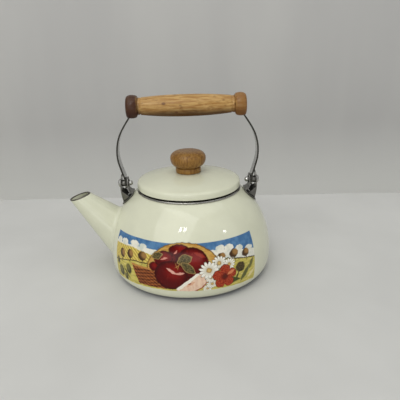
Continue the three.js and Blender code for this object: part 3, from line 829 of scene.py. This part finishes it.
def lower_point(turn):
    angle = turn * pi / 2
    power = 2 / BODY.lower
    return (
        BODY.base + (BODY.belly - BODY.base) * sin(angle) ** power,
        BODY.belly_z * (1 - abs(cos(angle)) ** power),
    )


def upper_radius(height):
    turn = (height - BODY.belly_z) / RISE
    return BODY.belly * sqrt(1 - NARROWING * max(turn, 0.0) ** BODY.upper)


def shoulder_height(radius):
    turn = ((1 - (radius / BODY.belly) ** 2) / NARROWING) ** (1 / BODY.upper)
    return BODY.belly_z + RISE * turn


def shoulder_normal(radius):
    slope = (shoulder_height(radius + 0.05) - shoulder_height(radius - 0.05)) / 0.1
    return Vector((-slope, 1.0)).normalized()


def body_outline():
    lower = [lower_point((step / 26) ** 1.6) for step in range(27)]
    lower[0] = (BODY.base, 0.0)
    heights = [BODY.belly_z + RISE * step / 44 for step in range(1, 45)]
    return lower + [(upper_radius(height), height) for height in heights]


def offset_outline(points, distance):
    out = []
    for index, (x, y) in enumerate(points):
        x0, y0 = points[max(index - 1, 0)]
        x1, y1 = points[min(index + 1, len(points) - 1)]
        length = hypot(x1 - x0, y1 - y0)
        out.append((x + (y1 - y0) / length * distance, y - (x1 - x0) / length * distance))
    return out


DIP = radians(SPOUT.elevation)
TILT = radians(SPOUT.tilt)
SPOUT_AXIS = Vector((cos(DIP), 0.0, -sin(DIP)))
SPOUT_SIDE = Vector((0.0, 1.0, 0.0))
SPOUT_UP = SPOUT_SIDE.cross(SPOUT_AXIS)
SPOUT_SLOPE = tan(radians(SPOUT.half_angle))
MOUTH_NORMAL = Vector((-sin(TILT), 0.0, cos(TILT)))
SPOUT_SEGMENTS = 96
SPOUT_ANGLES = [2 * pi * step / SPOUT_SEGMENTS for step in range(SPOUT_SEGMENTS)]


def spout_out(angle):
    """The direction away from the spout's axis."""
    return SPOUT_UP * cos(angle) + SPOUT_SIDE * sin(angle)


def cone_line(angle, growth=0.0):
    """A point on the spout's cone beside the mouth's centre, and the way down the cone there."""
    out = spout_out(angle)
    return MOUTH + out * (SPOUT.radius + growth), (SPOUT_AXIS + out * SPOUT_SLOPE)


def cone_at_plane(angle, above, growth=0.0):
    """Where the cone's line crosses the plane `above` the mouth's plane."""
    start, way = cone_line(angle, growth)
    distance = (above - (start - MOUTH).dot(MOUTH_NORMAL)) / way.dot(MOUTH_NORMAL)
    return start + way * distance


def inside_body(point, growth):
    if point.z > BODY.neck_z:
        return False
    radius = BODY.belly if point.z < BODY.belly_z else upper_radius(point.z)
    return hypot(point.x, point.y) < radius + growth


def cone_at_body(angle, cone_growth=0.0, body_growth=0.0):
    """Where the cone's line enters the body."""
    start, way = cone_line(angle, cone_growth)
    near, far = 0.0, 75.0
    while far - near > 0.001:
        middle = (near + far) / 2
        if inside_body(start + way * middle, body_growth):
            far = middle
        else:
            near = middle
    return start + way * near


def on_body(point, growth=0.0):
    """The point moved straight out or in to the body's surface."""
    radius = upper_radius(point.z) + growth
    scale = radius / hypot(point.x, point.y)
    return Vector((point.x * scale, point.y * scale, point.z))


def make_body(look):
    outline = body_outline()
    inner = offset_outline(outline, -WALL)[::-1]
    inner[-1] = (BODY.base, WALL)
    lip, neck = BODY.lip, BODY.neck_z
    hole = PAN.radius + 0.1
    profile = [
        (hole, 0.0),
        *outline,
        (lip, neck + 1.2), (lip, BODY.lip_z), (lip - WALL, BODY.lip_z), (lip - WALL, neck + 0.2),
        *inner,
        (hole, WALL),
    ]
    body = build("body_shell", lathe(profile, SWEEP), look)
    near, far = 20.0, 80.0
    bore = SPOUT.radius - WALL - 0.6
    drill = [(0, near), (bore + SPOUT_SLOPE * near, near), (bore + SPOUT_SLOPE * far, far), (0, far)]
    cut(body, placed(lathe(drill, SPOUT_SEGMENTS, closed=False), MOUTH, SPOUT_AXIS))
    fit(body, "kettle", "kettle_body")


def between(start, end, share):
    """A ring part of the way from one ring of points to another."""
    return [a + (b - a) * share for a, b in zip(start, end)]


def fillet_ring(angle, point):
    """The fillet's ends at one place of the spout's foot: up the cone and out on the body."""
    _, way = cone_line(angle)
    above = point - way.normalized() * SPOUT.fillet
    slope = 0.0
    if point.z > BODY.belly_z + 1:
        slope = upper_radius(point.z + 0.5) - upper_radius(point.z - 0.5)
    normal = Vector((point.x, point.y, 0)).normalized()
    normal = (normal - Vector((0, 0, slope))).normalized()
    out = spout_out(angle).normalized()
    tangent = (out - normal * out.dot(normal)).normalized()
    below = point + tangent * SPOUT.fillet
    return above, on_body(below, 0.02) if below.z > BODY.belly_z else below


def make_spout(look):
    """The outside from the mouth down to a small fillet on the body, then the bore back up."""
    mouth = [cone_at_plane(angle, -0.05) for angle in SPOUT_ANGLES]
    foot = [cone_at_body(angle) for angle in SPOUT_ANGLES]
    above, below = zip(*(fillet_ring(angle, point) for angle, point in zip(SPOUT_ANGLES, foot)))
    rings = [mouth]
    for share in (0.004, 0.1, 0.25, 0.45, 0.65, 0.85, 0.96):
        rings.append(between(mouth, above, share))
    for step in range(9):
        rings.append([curve(*ends, step / 8) for ends in zip(above, foot, below)])
    rings.append([on_body(point, -0.5) for point in below])
    inner_foot = [cone_at_body(angle, -WALL, -WALL - 0.3) for angle in SPOUT_ANGLES]
    inner_mouth = [cone_at_plane(angle, -0.05, -WALL) for angle in SPOUT_ANGLES]
    for share in (0.0, 0.3, 0.6, 0.9, 1.0):
        rings.append(between(inner_foot, inner_mouth, share))
    fit(build("spout_cone", tube(rings), look), "kettle", "spout")


def make_spout_rim(look):
    """The bare lip: a rolled edge that follows the slanting mouth."""
    over, high = SPOUT.overhang, SPOUT.rim
    section = [(over, 0.0), (over, high), (-WALL - over, high), (-WALL - over, 0.0)]
    rings = []
    for growth, above in rounded(section, 0.6, steps=5):
        rings.append([cone_at_plane(angle, above, growth) for angle in SPOUT_ANGLES])
    fit(build("spout_lip", tube(rings), look), "kettle", "spout_rim")


def turned(name, profile, radius, segments, look, closed=True):
    """A piece turned round +Z from an outline with rounded corners."""
    return build(name, lathe(rounded(profile, radius, closed=closed), segments, closed), look)


def make_pan(look):
    bottom, radius = PAN.lap_bottom, PAN.radius
    profile = [
        (0.0, 0.9), (radius - 7.0, 0.9, 3.0), (radius - 4.0, 0.0, 2.0), (radius, 0.0, 0.8),
        (radius, bottom, 0.3), (PAN.lap, bottom, 0.3), (PAN.lap, bottom + WALL, 0.4),
        (radius - WALL, bottom + WALL, 0.8), (radius - 4.5, WALL + 0.3, 1.5),
        (radius - 8.0, WALL + 0.9, 2.0), (0.0, WALL + 0.9),
    ]
    pan = turned("base_plate", profile, 0.5, SWEEP, look, closed=False)
    fit(pan, "kettle", "base_pan")


def make_ring(look):
    leg_in = BODY.lip + GAP
    leg_out = BODY.lip - WALL - GAP
    top = BODY.lip_z + GAP
    bead, neck = RING.bead, BODY.neck_z
    profile = [
        (RING.inner, RING.skirt, 0.2), (leg_out, RING.skirt, 0.2), (leg_out, top, 0.1),
        (leg_in, top, 0.1), (leg_in, neck + 1.5, 0.1), (bead - 0.4, neck - 0.1, 0.3),
        (bead, neck + 0.4, 0.6), (bead, neck + 1.3, 0.8), (bead - 0.8, neck + 2.0, 0.5),
        (RING.outer, neck + 2.1, 0.2), (RING.outer, RING.top, 0.3), (RING.inner, RING.top, 0.5),
    ]
    fit(turned("mouth_bead", profile, 0.3, SWEEP, look), "kettle", "mouth_ring")


# ---- The lid ----


def lid_height(radius):
    rise = LID.seat_z - LID.shoulder_z
    out = (radius - LID.seat) / (LID.shoulder - LID.seat)
    return LID.seat_z - rise * max(out, 0.0) ** 1.8


def make_lid(look):
    radius, skirt, shoulder = LID.radius, LID.skirt, LID.shoulder_z
    start = LID.shoulder - 0.6
    across = [start - (start - LID.seat) * step / 21 for step in range(22)]
    dome = [(out, lid_height(out)) for out in across]
    side = [
        (radius, skirt), (radius, skirt + 1.0), (radius - 0.15, shoulder - 3.4),
        (radius - 0.7, shoulder - 1.4, 1.6),
    ]
    outer = rounded([*side, dome[0], dome[3]], 1.5, closed=False, steps=8)[:-1] + dome[4:]
    inner = [point for point in offset_outline(outer, -WALL)[::-1] if point[0] >= LID.seat]
    outer[0] = (radius, skirt + 0.35)
    bottom = [(radius - WALL, skirt + 0.35), (radius - 0.8 * WALL, skirt), (radius - 0.2, skirt)]
    bore = [(LID_BORE, LID.seat_z), (LID_BORE, LID.seat_z - WALL)]
    lid = build("lid_shell", lathe([*outer, *bore, *inner[:-1], *bottom], SWEEP), look)
    fit(lid, "lid", "lid")


def make_plug(look):
    bead_bottom = RING.top + GAP
    outer, inner = PLUG.outer, PLUG.inner
    top = LID.shoulder_z - 0.9
    profile = [
        (inner, PLUG.bottom, 0.3), (outer, PLUG.bottom, 0.3), (outer, bead_bottom, 0.2),
        (PLUG.bead, bead_bottom, 0.5), (PLUG.bead, bead_bottom + 1.1, 0.5),
        (outer + 0.6, bead_bottom + 1.1, 0.2), (outer + 0.6, top, 0.1), (inner, top, 0.1),
    ]
    fit(turned("plug_band", profile, 0.2, 128, look), "lid", "lid_plug_ring")


def make_knob(look):
    foot = LID.seat_z + GAP
    groove, bulb, belly = KNOB.groove, KNOB.bulb, KNOB.bulb_z
    drop = belly - KNOB.foot_top - 1.2
    under, over = [], []
    for step in range(13):
        angle = quarter(step, 12)
        under.append((groove + (bulb - groove) * sin(angle), belly - drop * cos(angle)))
    for step in range(1, 16):
        angle = quarter(step, 16)
        over.append((bulb * cos(angle) ** 0.5, belly + (KNOB.top - belly) * sin(angle)))
    base = [
        (LID_BORE, foot + 15.0), (LID_BORE, foot), (KNOB.foot, foot, 0.9),
        (KNOB.foot, KNOB.foot_top - 0.3, 1.1), (groove - 0.5, KNOB.foot_top + 0.2, 0.5),
        under[0],
    ]
    base = rounded(base, 0.8, closed=False)
    profile = [(0.0, foot + 16.0), *base, *under[1:], *over, (0.0, KNOB.top)]
    knob = build("knob_turned", lathe(profile, 96, closed=False), look)
    fit(knob, "lid", "lid_knob")


def make_knob_fixings(look):
    """The washer and the screw under the lid, with a slot across the screw's head."""
    top = LID.seat_z - WALL - GAP
    under = top - 1.0
    disc = [(LID_BORE, under), (7.5, under), (7.5, top), (LID_BORE, top)]
    fit(turned("knob_washer_disc", disc, 0.25, 64, look), "lid", "knob_washer")
    head = under - GAP
    tip = LID.seat_z + GAP + 15.0
    profile = [
        (0.0, head - 2.6), (2.6, head - 2.5, 1.2), (4.4, head - 1.0, 0.8), (4.4, head, 0.2),
        (2.0, head, 0.2), (2.0, tip - 2.0, 0.2), (0.0, tip),
    ]
    screw = turned("knob_screw_turned", profile, 0.3, 48, look, closed=False)
    cut(screw, slot_block((0.0, 0.0, head - 2.6), (12.0, 1.0, 1.8)))
    fit(screw, "lid", "knob_screw")


def slot_block(centre, size):
    """A closed block, only ever cut out of a screw's head."""
    ends = (-0.5, 0.5)
    steps = [(x, y, z) for z in ends for y in ends for x in ends]
    corners = [Vector(size) * Vector(step) + Vector(centre) for step in steps]
    faces = [(0, 1, 3, 2), (4, 6, 7, 5), (0, 4, 5, 1), (2, 3, 7, 6), (0, 2, 6, 4), (1, 5, 7, 3)]
    return corners, faces


# ---- The bail ----
HINGE_HOLE = 2.45
GROOVE_FROM = 170  # the groove follows the strap above this height


def strap_line():
    """The strap's middle line from the right lower end up to the middle of the grip."""
    arm = spline(STRAP_ARM, 60)
    entry, before = arm[-1], arm[-2]
    heading = atan2(entry.y - before.y, before.x - entry.x)
    radius = (STRAP.level - entry.y) / (1 - cos(heading))
    centre_x = entry.x - radius * sin(heading)
    bend = []
    for step in range(1, 11):
        angle = heading * (1 - step / 10)
        bend.append(Vector((centre_x + radius * sin(angle), STRAP.level - radius * (1 - cos(angle)))))
    return [*arm, *bend, Vector((0.0, STRAP.level))]


def mirrored(points):
    """The points, then all but the last of them again on the other side, backwards."""
    return points + [Vector((-point.x, point.y)) for point in reversed(points[:-1])]


def make_strap(look):
    half = STRAP.width / 2
    # The lower end is round about the hinge, so it gets close steps there.
    tail = []
    for step in range(17):
        angle = quarter(step, 16)
        tail.append((Vector((STRAP_ARM[0][0], HINGE_Z - half * cos(angle))), max(half * sin(angle), 0.35)))
    upper = [(point, half) for point in strap_line() if point.y > HINGE_Z + 0.8]
    points, widths = zip(*tail, *upper)
    widths = [*widths, *reversed(widths[:-1])]
    columns = [-1.0, -0.94, -0.6, -0.2, 0.2, 0.6, 0.94, 1.0]
    rows = []
    for point, wide in zip(mirrored(list(points)), widths):
        rows.append([(point.x, wide * column, point.y) for column in columns])
    strap = plate("strap_band", rows, look, STRAP.thickness, 0.45)
    hole = lathe([(0, -100.0), (HINGE_HOLE, -100.0), (HINGE_HOLE, 100.0), (0, 100.0)], 32, closed=False)
    cut(strap, placed(hole, (0.0, 0.0, HINGE_Z), (1, 0, 0)))
    fit(strap, "bail", "bail_strap")


def grip_profile():
    half, bead, collar, swell = GRIP.half, GRIP.bead, GRIP.collar, GRIP.barrel - GRIP.end
    start = half - bead
    barrel_end = start - collar
    side = []
    for step in range(1, 19):
        out = step / 18
        side.append((GRIP.end + swell * (1 - out**2.2), (barrel_end - 0.5) * out))
    neck = GRIP.collar_radius
    side += [
        (neck - 0.3, barrel_end - 0.1), (neck - 0.3, barrel_end + 0.2), (neck, barrel_end + 0.6),
        (neck + 0.1, barrel_end + 0.5 * collar), (neck, start - 0.5),
    ]
    for step in range(25):
        angle = step / 24 * pi
        bulge = sin(angle) ** 0.6 if 0 < step < 24 else 0.0
        edge = neck - 0.5 if angle < pi / 2 else 0.62 * GRIP.bead_radius
        side.append((edge + (GRIP.bead_radius - edge) * bulge, start + bead / 2 * (1 - cos(angle))))
    other = [(radius, -x) for radius, x in side[::-1]]
    return [(0.0, -half), *other, (GRIP.barrel, 0.0), *side, (0.0, half)]


def make_grip(look):
    """The grip with the groove in its underside, cut to follow the strap."""
    shape = placed(lathe(grip_profile(), 96, closed=False), (0, 0, GRIP.z), (1, 0, 0))
    grip = build("grip_turned", shape, look)
    gap = STRAP.thickness / 2 + 0.2
    inside = [point for point in strap_line() if point.y > GROOVE_FROM]
    ceiling = []
    for before, point, after in zip([inside[0], *inside], inside, [*inside[1:], inside[-1]]):
        along = (after - before).normalized()
        ceiling.append(Vector((point.x + along.y * gap, point.y - along.x * gap)))
    floor = GRIP.z - 2 * GRIP.bead_radius
    outline = mirrored([Vector((ceiling[0].x, floor)), *ceiling])
    wide = STRAP.width / 2 + 0.3
    count = len(outline)
    vertices = [(point.x, y, point.y) for y in (-wide, wide) for point in outline]
    faces = [tuple(range(count)), tuple(range(2 * count - 1, count - 1, -1))]
    faces += grid_faces(2, count, wrap=True)
    cut(grip, (vertices, faces))
    fit(bevelled(grip, 0.25, 2), "bail", "bail_grip")


def make_grip_screw(side, look):
    hand = HAND[side]
    top = STRAP.level - STRAP.thickness / 2 - GAP
    tip = STRAP.level + 11.0
    profile = [
        (0.0, top - 1.7), (2.0, top - 1.6, 0.8), (3.3, top - 0.7, 0.6), (3.3, top, 0.15),
        (1.6, top, 0.1), (1.6, tip - 2.0, 0.1), (0.0, tip),
    ]
    x = side * GRIP_SCREW_X
    shape = placed(lathe(rounded(profile, 0.2, closed=False), 40, closed=False), (x, 0, 0), (0, 0, 1))
    screw = build(f"{hand}_grip_screw_turned", shape, look)
    cut(screw, slot_block((x, 0.0, top - 1.7), (9.0, 0.8, 1.4)))
    fit(screw, "bail", f"{hand}_grip_screw")


# ---- The hinges ----


def cheek_rows(line, half_width):
    """The middle surface of a cheek whose half-width depends on the height."""
    rows = []
    for point in spline(line, 40):
        wide = half_width(point.y)
        rows.append([(point.x, wide * column, point.y) for column in ACROSS])
    return rows


def cheek_top(height, line, reach, wide):
    """The half-width in the round top of a cheek, or None below it."""
    start = line[-1][1] - reach
    if height <= start:
        return None
    return 0.4 + wide * sqrt(max(0.0, 1 - ((height - start) / reach) ** 2))


def outer_half_width(height):
    top = cheek_top(height, OUTER_CHEEK, 8.2, 6.6)
    return 4.6 + 2.4 * min(max((height - 86.0) / 12.0, 0.0), 1.0) if top is None else top


def inner_half_width(height):
    top = cheek_top(height, INNER_CHEEK, 6.8, 6.4)
    return 6.8 + 1.2 * min(max((100.5 - height) / 4.7, 0.0), 1.0) if top is None else top


def foot_rows():
    """The foot lies on the shoulder, wide at the lid and narrow at the belly."""
    rows = []
    lift = 2 * GAP + EAR.thickness / 2
    near, far = 63.4, 76.2
    for step in range(13):
        radius = near + (far - near) * step / 12
        wide = 11.0 if radius < 69.5 else 11.0 - (radius - 69.5) * 0.93
        if radius < 66:
            wide = 8.4 + (radius - near)
        normal = shoulder_normal(radius)
        reach = radius + normal.x * lift
        height = shoulder_height(radius) + normal.y * lift
        angles = [asin(wide * column / radius) for column in ACROSS]
        rows.append([(reach * cos(angle), reach * sin(angle), height) for angle in angles])
    return rows


def wing_rows(hand):
    """The wing that braces the outer cheek down to the foot's corner."""
    high = Vector((77.1, 6.5 * hand, 97.6))
    low = Vector((75.6, 4.2 * hand, 85.0))
    corner = Vector((68.4, 10.2 * hand, 91.6))
    rows = []
    for step in range(7):
        share = step / 6 * 0.97
        start = high + (corner - high) * share
        end = low + (corner - low) * share
        rows.append([tuple(start + (end - start) * k / 4) for k in range(5)])
    return rows


def make_ear(side, look):
    hand = HAND[side]
    thick = EAR.thickness
    sheets = [
        plate("outer", cheek_rows(OUTER_CHEEK, outer_half_width), look, thick),
        plate("inner", cheek_rows(INNER_CHEEK, inner_half_width), look, thick),
        plate("foot", foot_rows(), look, thick),
        plate("wing_front", wing_rows(-1), look, thick * 0.8),
        plate("wing_back", wing_rows(1), look, thick * 0.8),
    ]
    ear = join(sheets, f"{hand}_ear_stamped")
    if side < 0:
        ear.data.transform(Matrix.Scale(-1, 4, (1, 0, 0)))
        ear.data.flip_normals()
    fit(ear, "kettle", f"{hand}_ear_bracket")


def domed(radius, head, head_height, length, tail, tail_height):
    """A rivet turned along its axis: domed head at 0 and above, tail at -length and below."""
    edge = 0.25
    head_arc, tail_arc = [], []
    for step in range(1, 12):
        angle = quarter(step, 12)
        head_arc.append((head * cos(angle) ** 0.75, edge + (head_height - edge) * sin(angle)))
        tail_arc.append((tail * sin(angle) ** 0.6, -length - 0.3 - (tail_height - 0.3) * cos(angle)))
    return [
        (0.0, -length - tail_height),
        *tail_arc,
        (tail, -length - 0.3), (tail, -length), (radius, -length), (radius, 0.0),
        (head - 0.15, 0.0), (head, edge),
        *head_arc,
        (0.0, head_height),
    ]


def make_pin(side, look):
    hand = HAND[side]
    seat = EAR.outer_x + EAR.thickness / 2 + 0.1
    tail_seat = EAR.inner_x - EAR.thickness / 2 - BURR.thickness - 2 * GAP
    profile = domed(PIN.radius, PIN.head, PIN.head_height, seat - tail_seat, PIN.tail, PIN.tail_height)
    shape = placed(lathe(profile, 64, closed=False), (side * seat, 0, HINGE_Z), (side, 0, 0))
    fit(build(f"{hand}_pin_domed", shape, look), "kettle", f"{hand}_hinge_pin")


def make_hinge_washer(side, name, node, radius, start, end, look):
    """A washer on the hinge's axis, from `start` to `end` away from the middle."""
    hand = HAND[side]
    bore = PIN.radius + 0.1
    profile = rounded([(bore, start), (radius, start), (radius, end), (bore, end)], 0.25)
    shape = placed(lathe(profile, 64), (0, 0, HINGE_Z), (side, 0, 0))
    fit(build(f"{hand}_{name}", shape, look), "kettle", f"{hand}_{node}")


def make_ear_rivet(side, y, look):
    hand = HAND[side]
    end = "back" if y > 0 else "front"
    radius = RIVET.seat
    normal = shoulder_normal(radius)
    angle = asin(y / radius)
    direction = Vector((side * normal.x * cos(angle), normal.x * sin(angle), normal.y))
    seat = Vector((side * radius * cos(angle), y, shoulder_height(radius)))
    start = seat + direction * (2 * GAP + EAR.thickness + 0.1)
    length = 2 * GAP + EAR.thickness + WALL + 0.3
    profile = domed(RIVET.radius, RIVET.head, RIVET.head_height, length, RIVET.head, 0.9)
    shape = placed(lathe(profile, 40, closed=False), start, direction)
    rivet = build(f"{hand}_foot_rivet_{end}", shape, look)
    fit(rivet, "kettle", f"{hand}_ear_rivet_{end}")


def make_object():
    cream = srgb(222, 223, 198)
    body_enamel = enamel("body_enamel", cream, picture=True)
    plain_enamel = enamel("plain_enamel", cream)
    across = (0.1, 1.0, 1.0)
    bright = steel("bright_steel", (0.50, 0.495, 0.47, 1), 0.22, across, 0.3)
    # The mouth ring's steel is painted darker than the bright steel, as painted shade under the lid's
    # overhang, and near-black above the gap height, as the painted shadow of the gap under the lid.
    trim = steel("seam_trim", (0.40, 0.39, 0.36, 1), 0.26, across, 0.4, shaded_above=SHADED_GAP_HEIGHT)
    # The strap's darker edges are painted shade for the dark reflections along them.
    plated = steel("plated_strap", (0.58, 0.58, 0.57, 1), 0.24, (1.0, 0.08, 1.0), 0.3, edges=STRAP_SHADED_EDGE)
    stamped = steel("stamped_ear", (0.20, 0.195, 0.18, 1), 0.34, (1.0, 1.0, 0.2), 0.6)
    lip = steel("dark_lip", (0.16, 0.145, 0.12, 1), 0.38, (1.0, 1.0, 1.0), 0.6)
    make_body(body_enamel)
    make_spout(plain_enamel)
    make_spout_rim(lip)
    make_pan(plain_enamel)
    make_ring(trim)
    make_lid(plain_enamel)
    make_plug(bright)
    make_knob(wood("knob_wood_grain", 2, srgb(156, 116, 56), srgb(120, 80, 32)))
    make_knob_fixings(bright)
    make_strap(plated)
    make_grip(wood("grip_wood_grain", 0, srgb(198, 160, 98), srgb(160, 116, 58)))
    outer_face = EAR.outer_x - EAR.thickness / 2 - 0.1
    burr_face = EAR.inner_x - EAR.thickness / 2 - 0.1
    strap_face = STRAP_ARM[0][0] + STRAP.thickness / 2 + 0.4
    washers = (
        ("spacer_turned", "hinge_spacer", SPACER, strap_face, outer_face),
        ("burr_disc", "hinge_burr", BURR.radius, burr_face - BURR.thickness, burr_face),
    )
    for side in (-1, 1):
        make_grip_screw(side, bright)
        make_ear(side, stamped)
        make_pin(side, bright)
        for washer in washers:
            make_hinge_washer(side, *washer, stamped)
        for y in (-RIVET.y, RIVET.y):
            make_ear_rivet(side, y, bright)


# ---- The stage: a pale table, a wall behind it, soft light and the camera ----


def make_stage():
    cloth = Paint("pale_cloth")
    weave = cloth.noise(cloth.millimetres(), 1.4, 2.0)
    soft = cloth.noise(cloth.millimetres(), 0.006)
    tone = cloth.mix(cloth.spread(soft, 0.3, 0.7), srgb(211, 211, 207), srgb(204, 204, 200))
    cloth_look = cloth.finish(Base_Color=tone, Roughness=0.9, Normal=cloth.bump(weave, 0.0004, 0.2))
    back, fall = 258.0, 25.0
    shift, skew = 5.0, 0.042
    line = [(-1200.0, 0.0), (0.0, 0.0), (back - fall, 0.0)]
    for step in range(1, 13):
        angle = quarter(step, 12)
        line.append((back - fall + fall * sin(angle), fall * (cos(angle) - 1)))
    line.append((back, -900.0))
    wide = 1800.0
    # The table stands slightly askew to the kettle.
    vertices = [(x, y + shift - skew * x, z) for y, z in line for x in (-wide, 0.0, wide)]
    floor = build("floor", (vertices, grid_faces(len(line), 3)), cloth_look)
    plaster = Paint("pale_wall")
    folds = plaster.noise(plaster.millimetres((1.0, 1.0, 0.25)), 0.004)
    tone = plaster.mix(plaster.spread(folds, 0.3, 0.7), srgb(206, 205, 201), srgb(198, 197, 194))
    # Painted light: the wall is painted lighter towards the bottom, standing in for the light falling more
    # brightly there.
    lower = plaster.spread(plaster.axes()[2], 60.0, -170.0)
    tone = plaster.mix(lower, tone, srgb(240, 240, 235))
    wall_look = plaster.finish(Base_Color=tone, Roughness=0.95)
    far = 700.0
    vertices = [(x, far, z) for z in (-900.0, 600.0, 2400.0) for x in (-3000.0, 0.0, 3000.0)]
    wall = build("backdrop", (vertices, grid_faces(3, 3)), wall_look)


MIDDLE = (0.0, 0.0, 0.08)
FRONT = (0.0, -0.09, 0.06)
# Name, place, target, size, watts and colour. The panes show as sharp glints on the glaze.
LIGHTS = (
    ("key", (-1.0, -1.6, 2.1), MIDDLE, (2.6, 2.6), 29, (1.0, 0.99, 0.96)),
    ("fill", (1.7, -1.2, 1.2), MIDDLE, (1.8, 1.8), 3.2, (0.97, 0.98, 1.0)),
    ("low", (-0.4, -1.7, 0.22), MIDDLE, (1.8, 0.4), 3.4, (1, 1, 1)),
    ("top", (0.1, 0.1, 2.2), MIDDLE, (2.4, 2.4), 14, (1, 1, 1)),
    ("pane_left", (-0.42, -1.25, 1.38), FRONT, (0.10, 0.22), 1.0, (1, 1, 1)),
    ("pane_right", (-0.22, -1.29, 1.39), FRONT, (0.10, 0.22), 1.0, (1, 1, 1)),
    ("pane_far", (1.34, -0.90, 0.99), FRONT, (0.07, 0.07), 0.7, (1, 1, 1)),
)


def make_lights():
    for name, place, target, size, power, colour in LIGHTS:
        data = bpy.data.lights.new(name, "AREA")
        data.shape = "RECTANGLE"
        data.size, data.size_y = size
        data.energy = power
        data.color = colour
        light = add(name, data)
        light.location = place
        light.rotation_euler = (Vector(target) - Vector(place)).to_track_quat("-Z", "Y").to_euler()
    world = bpy.data.worlds.new("soft_room")
    world.use_nodes = True
    background = world.node_tree.nodes["Background"]
    background.inputs[0].default_value = (0.92, 0.93, 0.95, 1)
    background.inputs[1].default_value = 0.36
    bpy.context.scene.world = world


CAMERA_PLACE = (0.0, -0.4954, 0.2618)
CAMERA_TURN = (1.43, 20.05, 1.43)  # degrees of pan, pitch and roll
LENS = 40.5


def make_camera():
    pan, pitch, roll = (radians(angle) for angle in CAMERA_TURN)
    forward = Vector((sin(pan) * cos(pitch), cos(pan) * cos(pitch), -sin(pitch)))
    right = Vector((cos(pan), -sin(pan), 0.0))
    up = right.cross(forward)
    tilted_right = right * cos(roll) - up * sin(roll)
    tilted_up = right * sin(roll) + up * cos(roll)
    data = bpy.data.cameras.new("camera")
    data.lens = LENS
    data.sensor_width = 36.0
    data.clip_start = 0.01
    turn = Matrix((tilted_right, tilted_up, -forward)).transposed().to_4x4()
    camera = add("camera", data)
    camera.matrix_world = Matrix.Translation(CAMERA_PLACE) @ turn
    bpy.context.scene.camera = camera


make_object()
make_stage()
make_lights()
make_camera()
bpy.context.scene.view_settings.view_transform = "Standard"
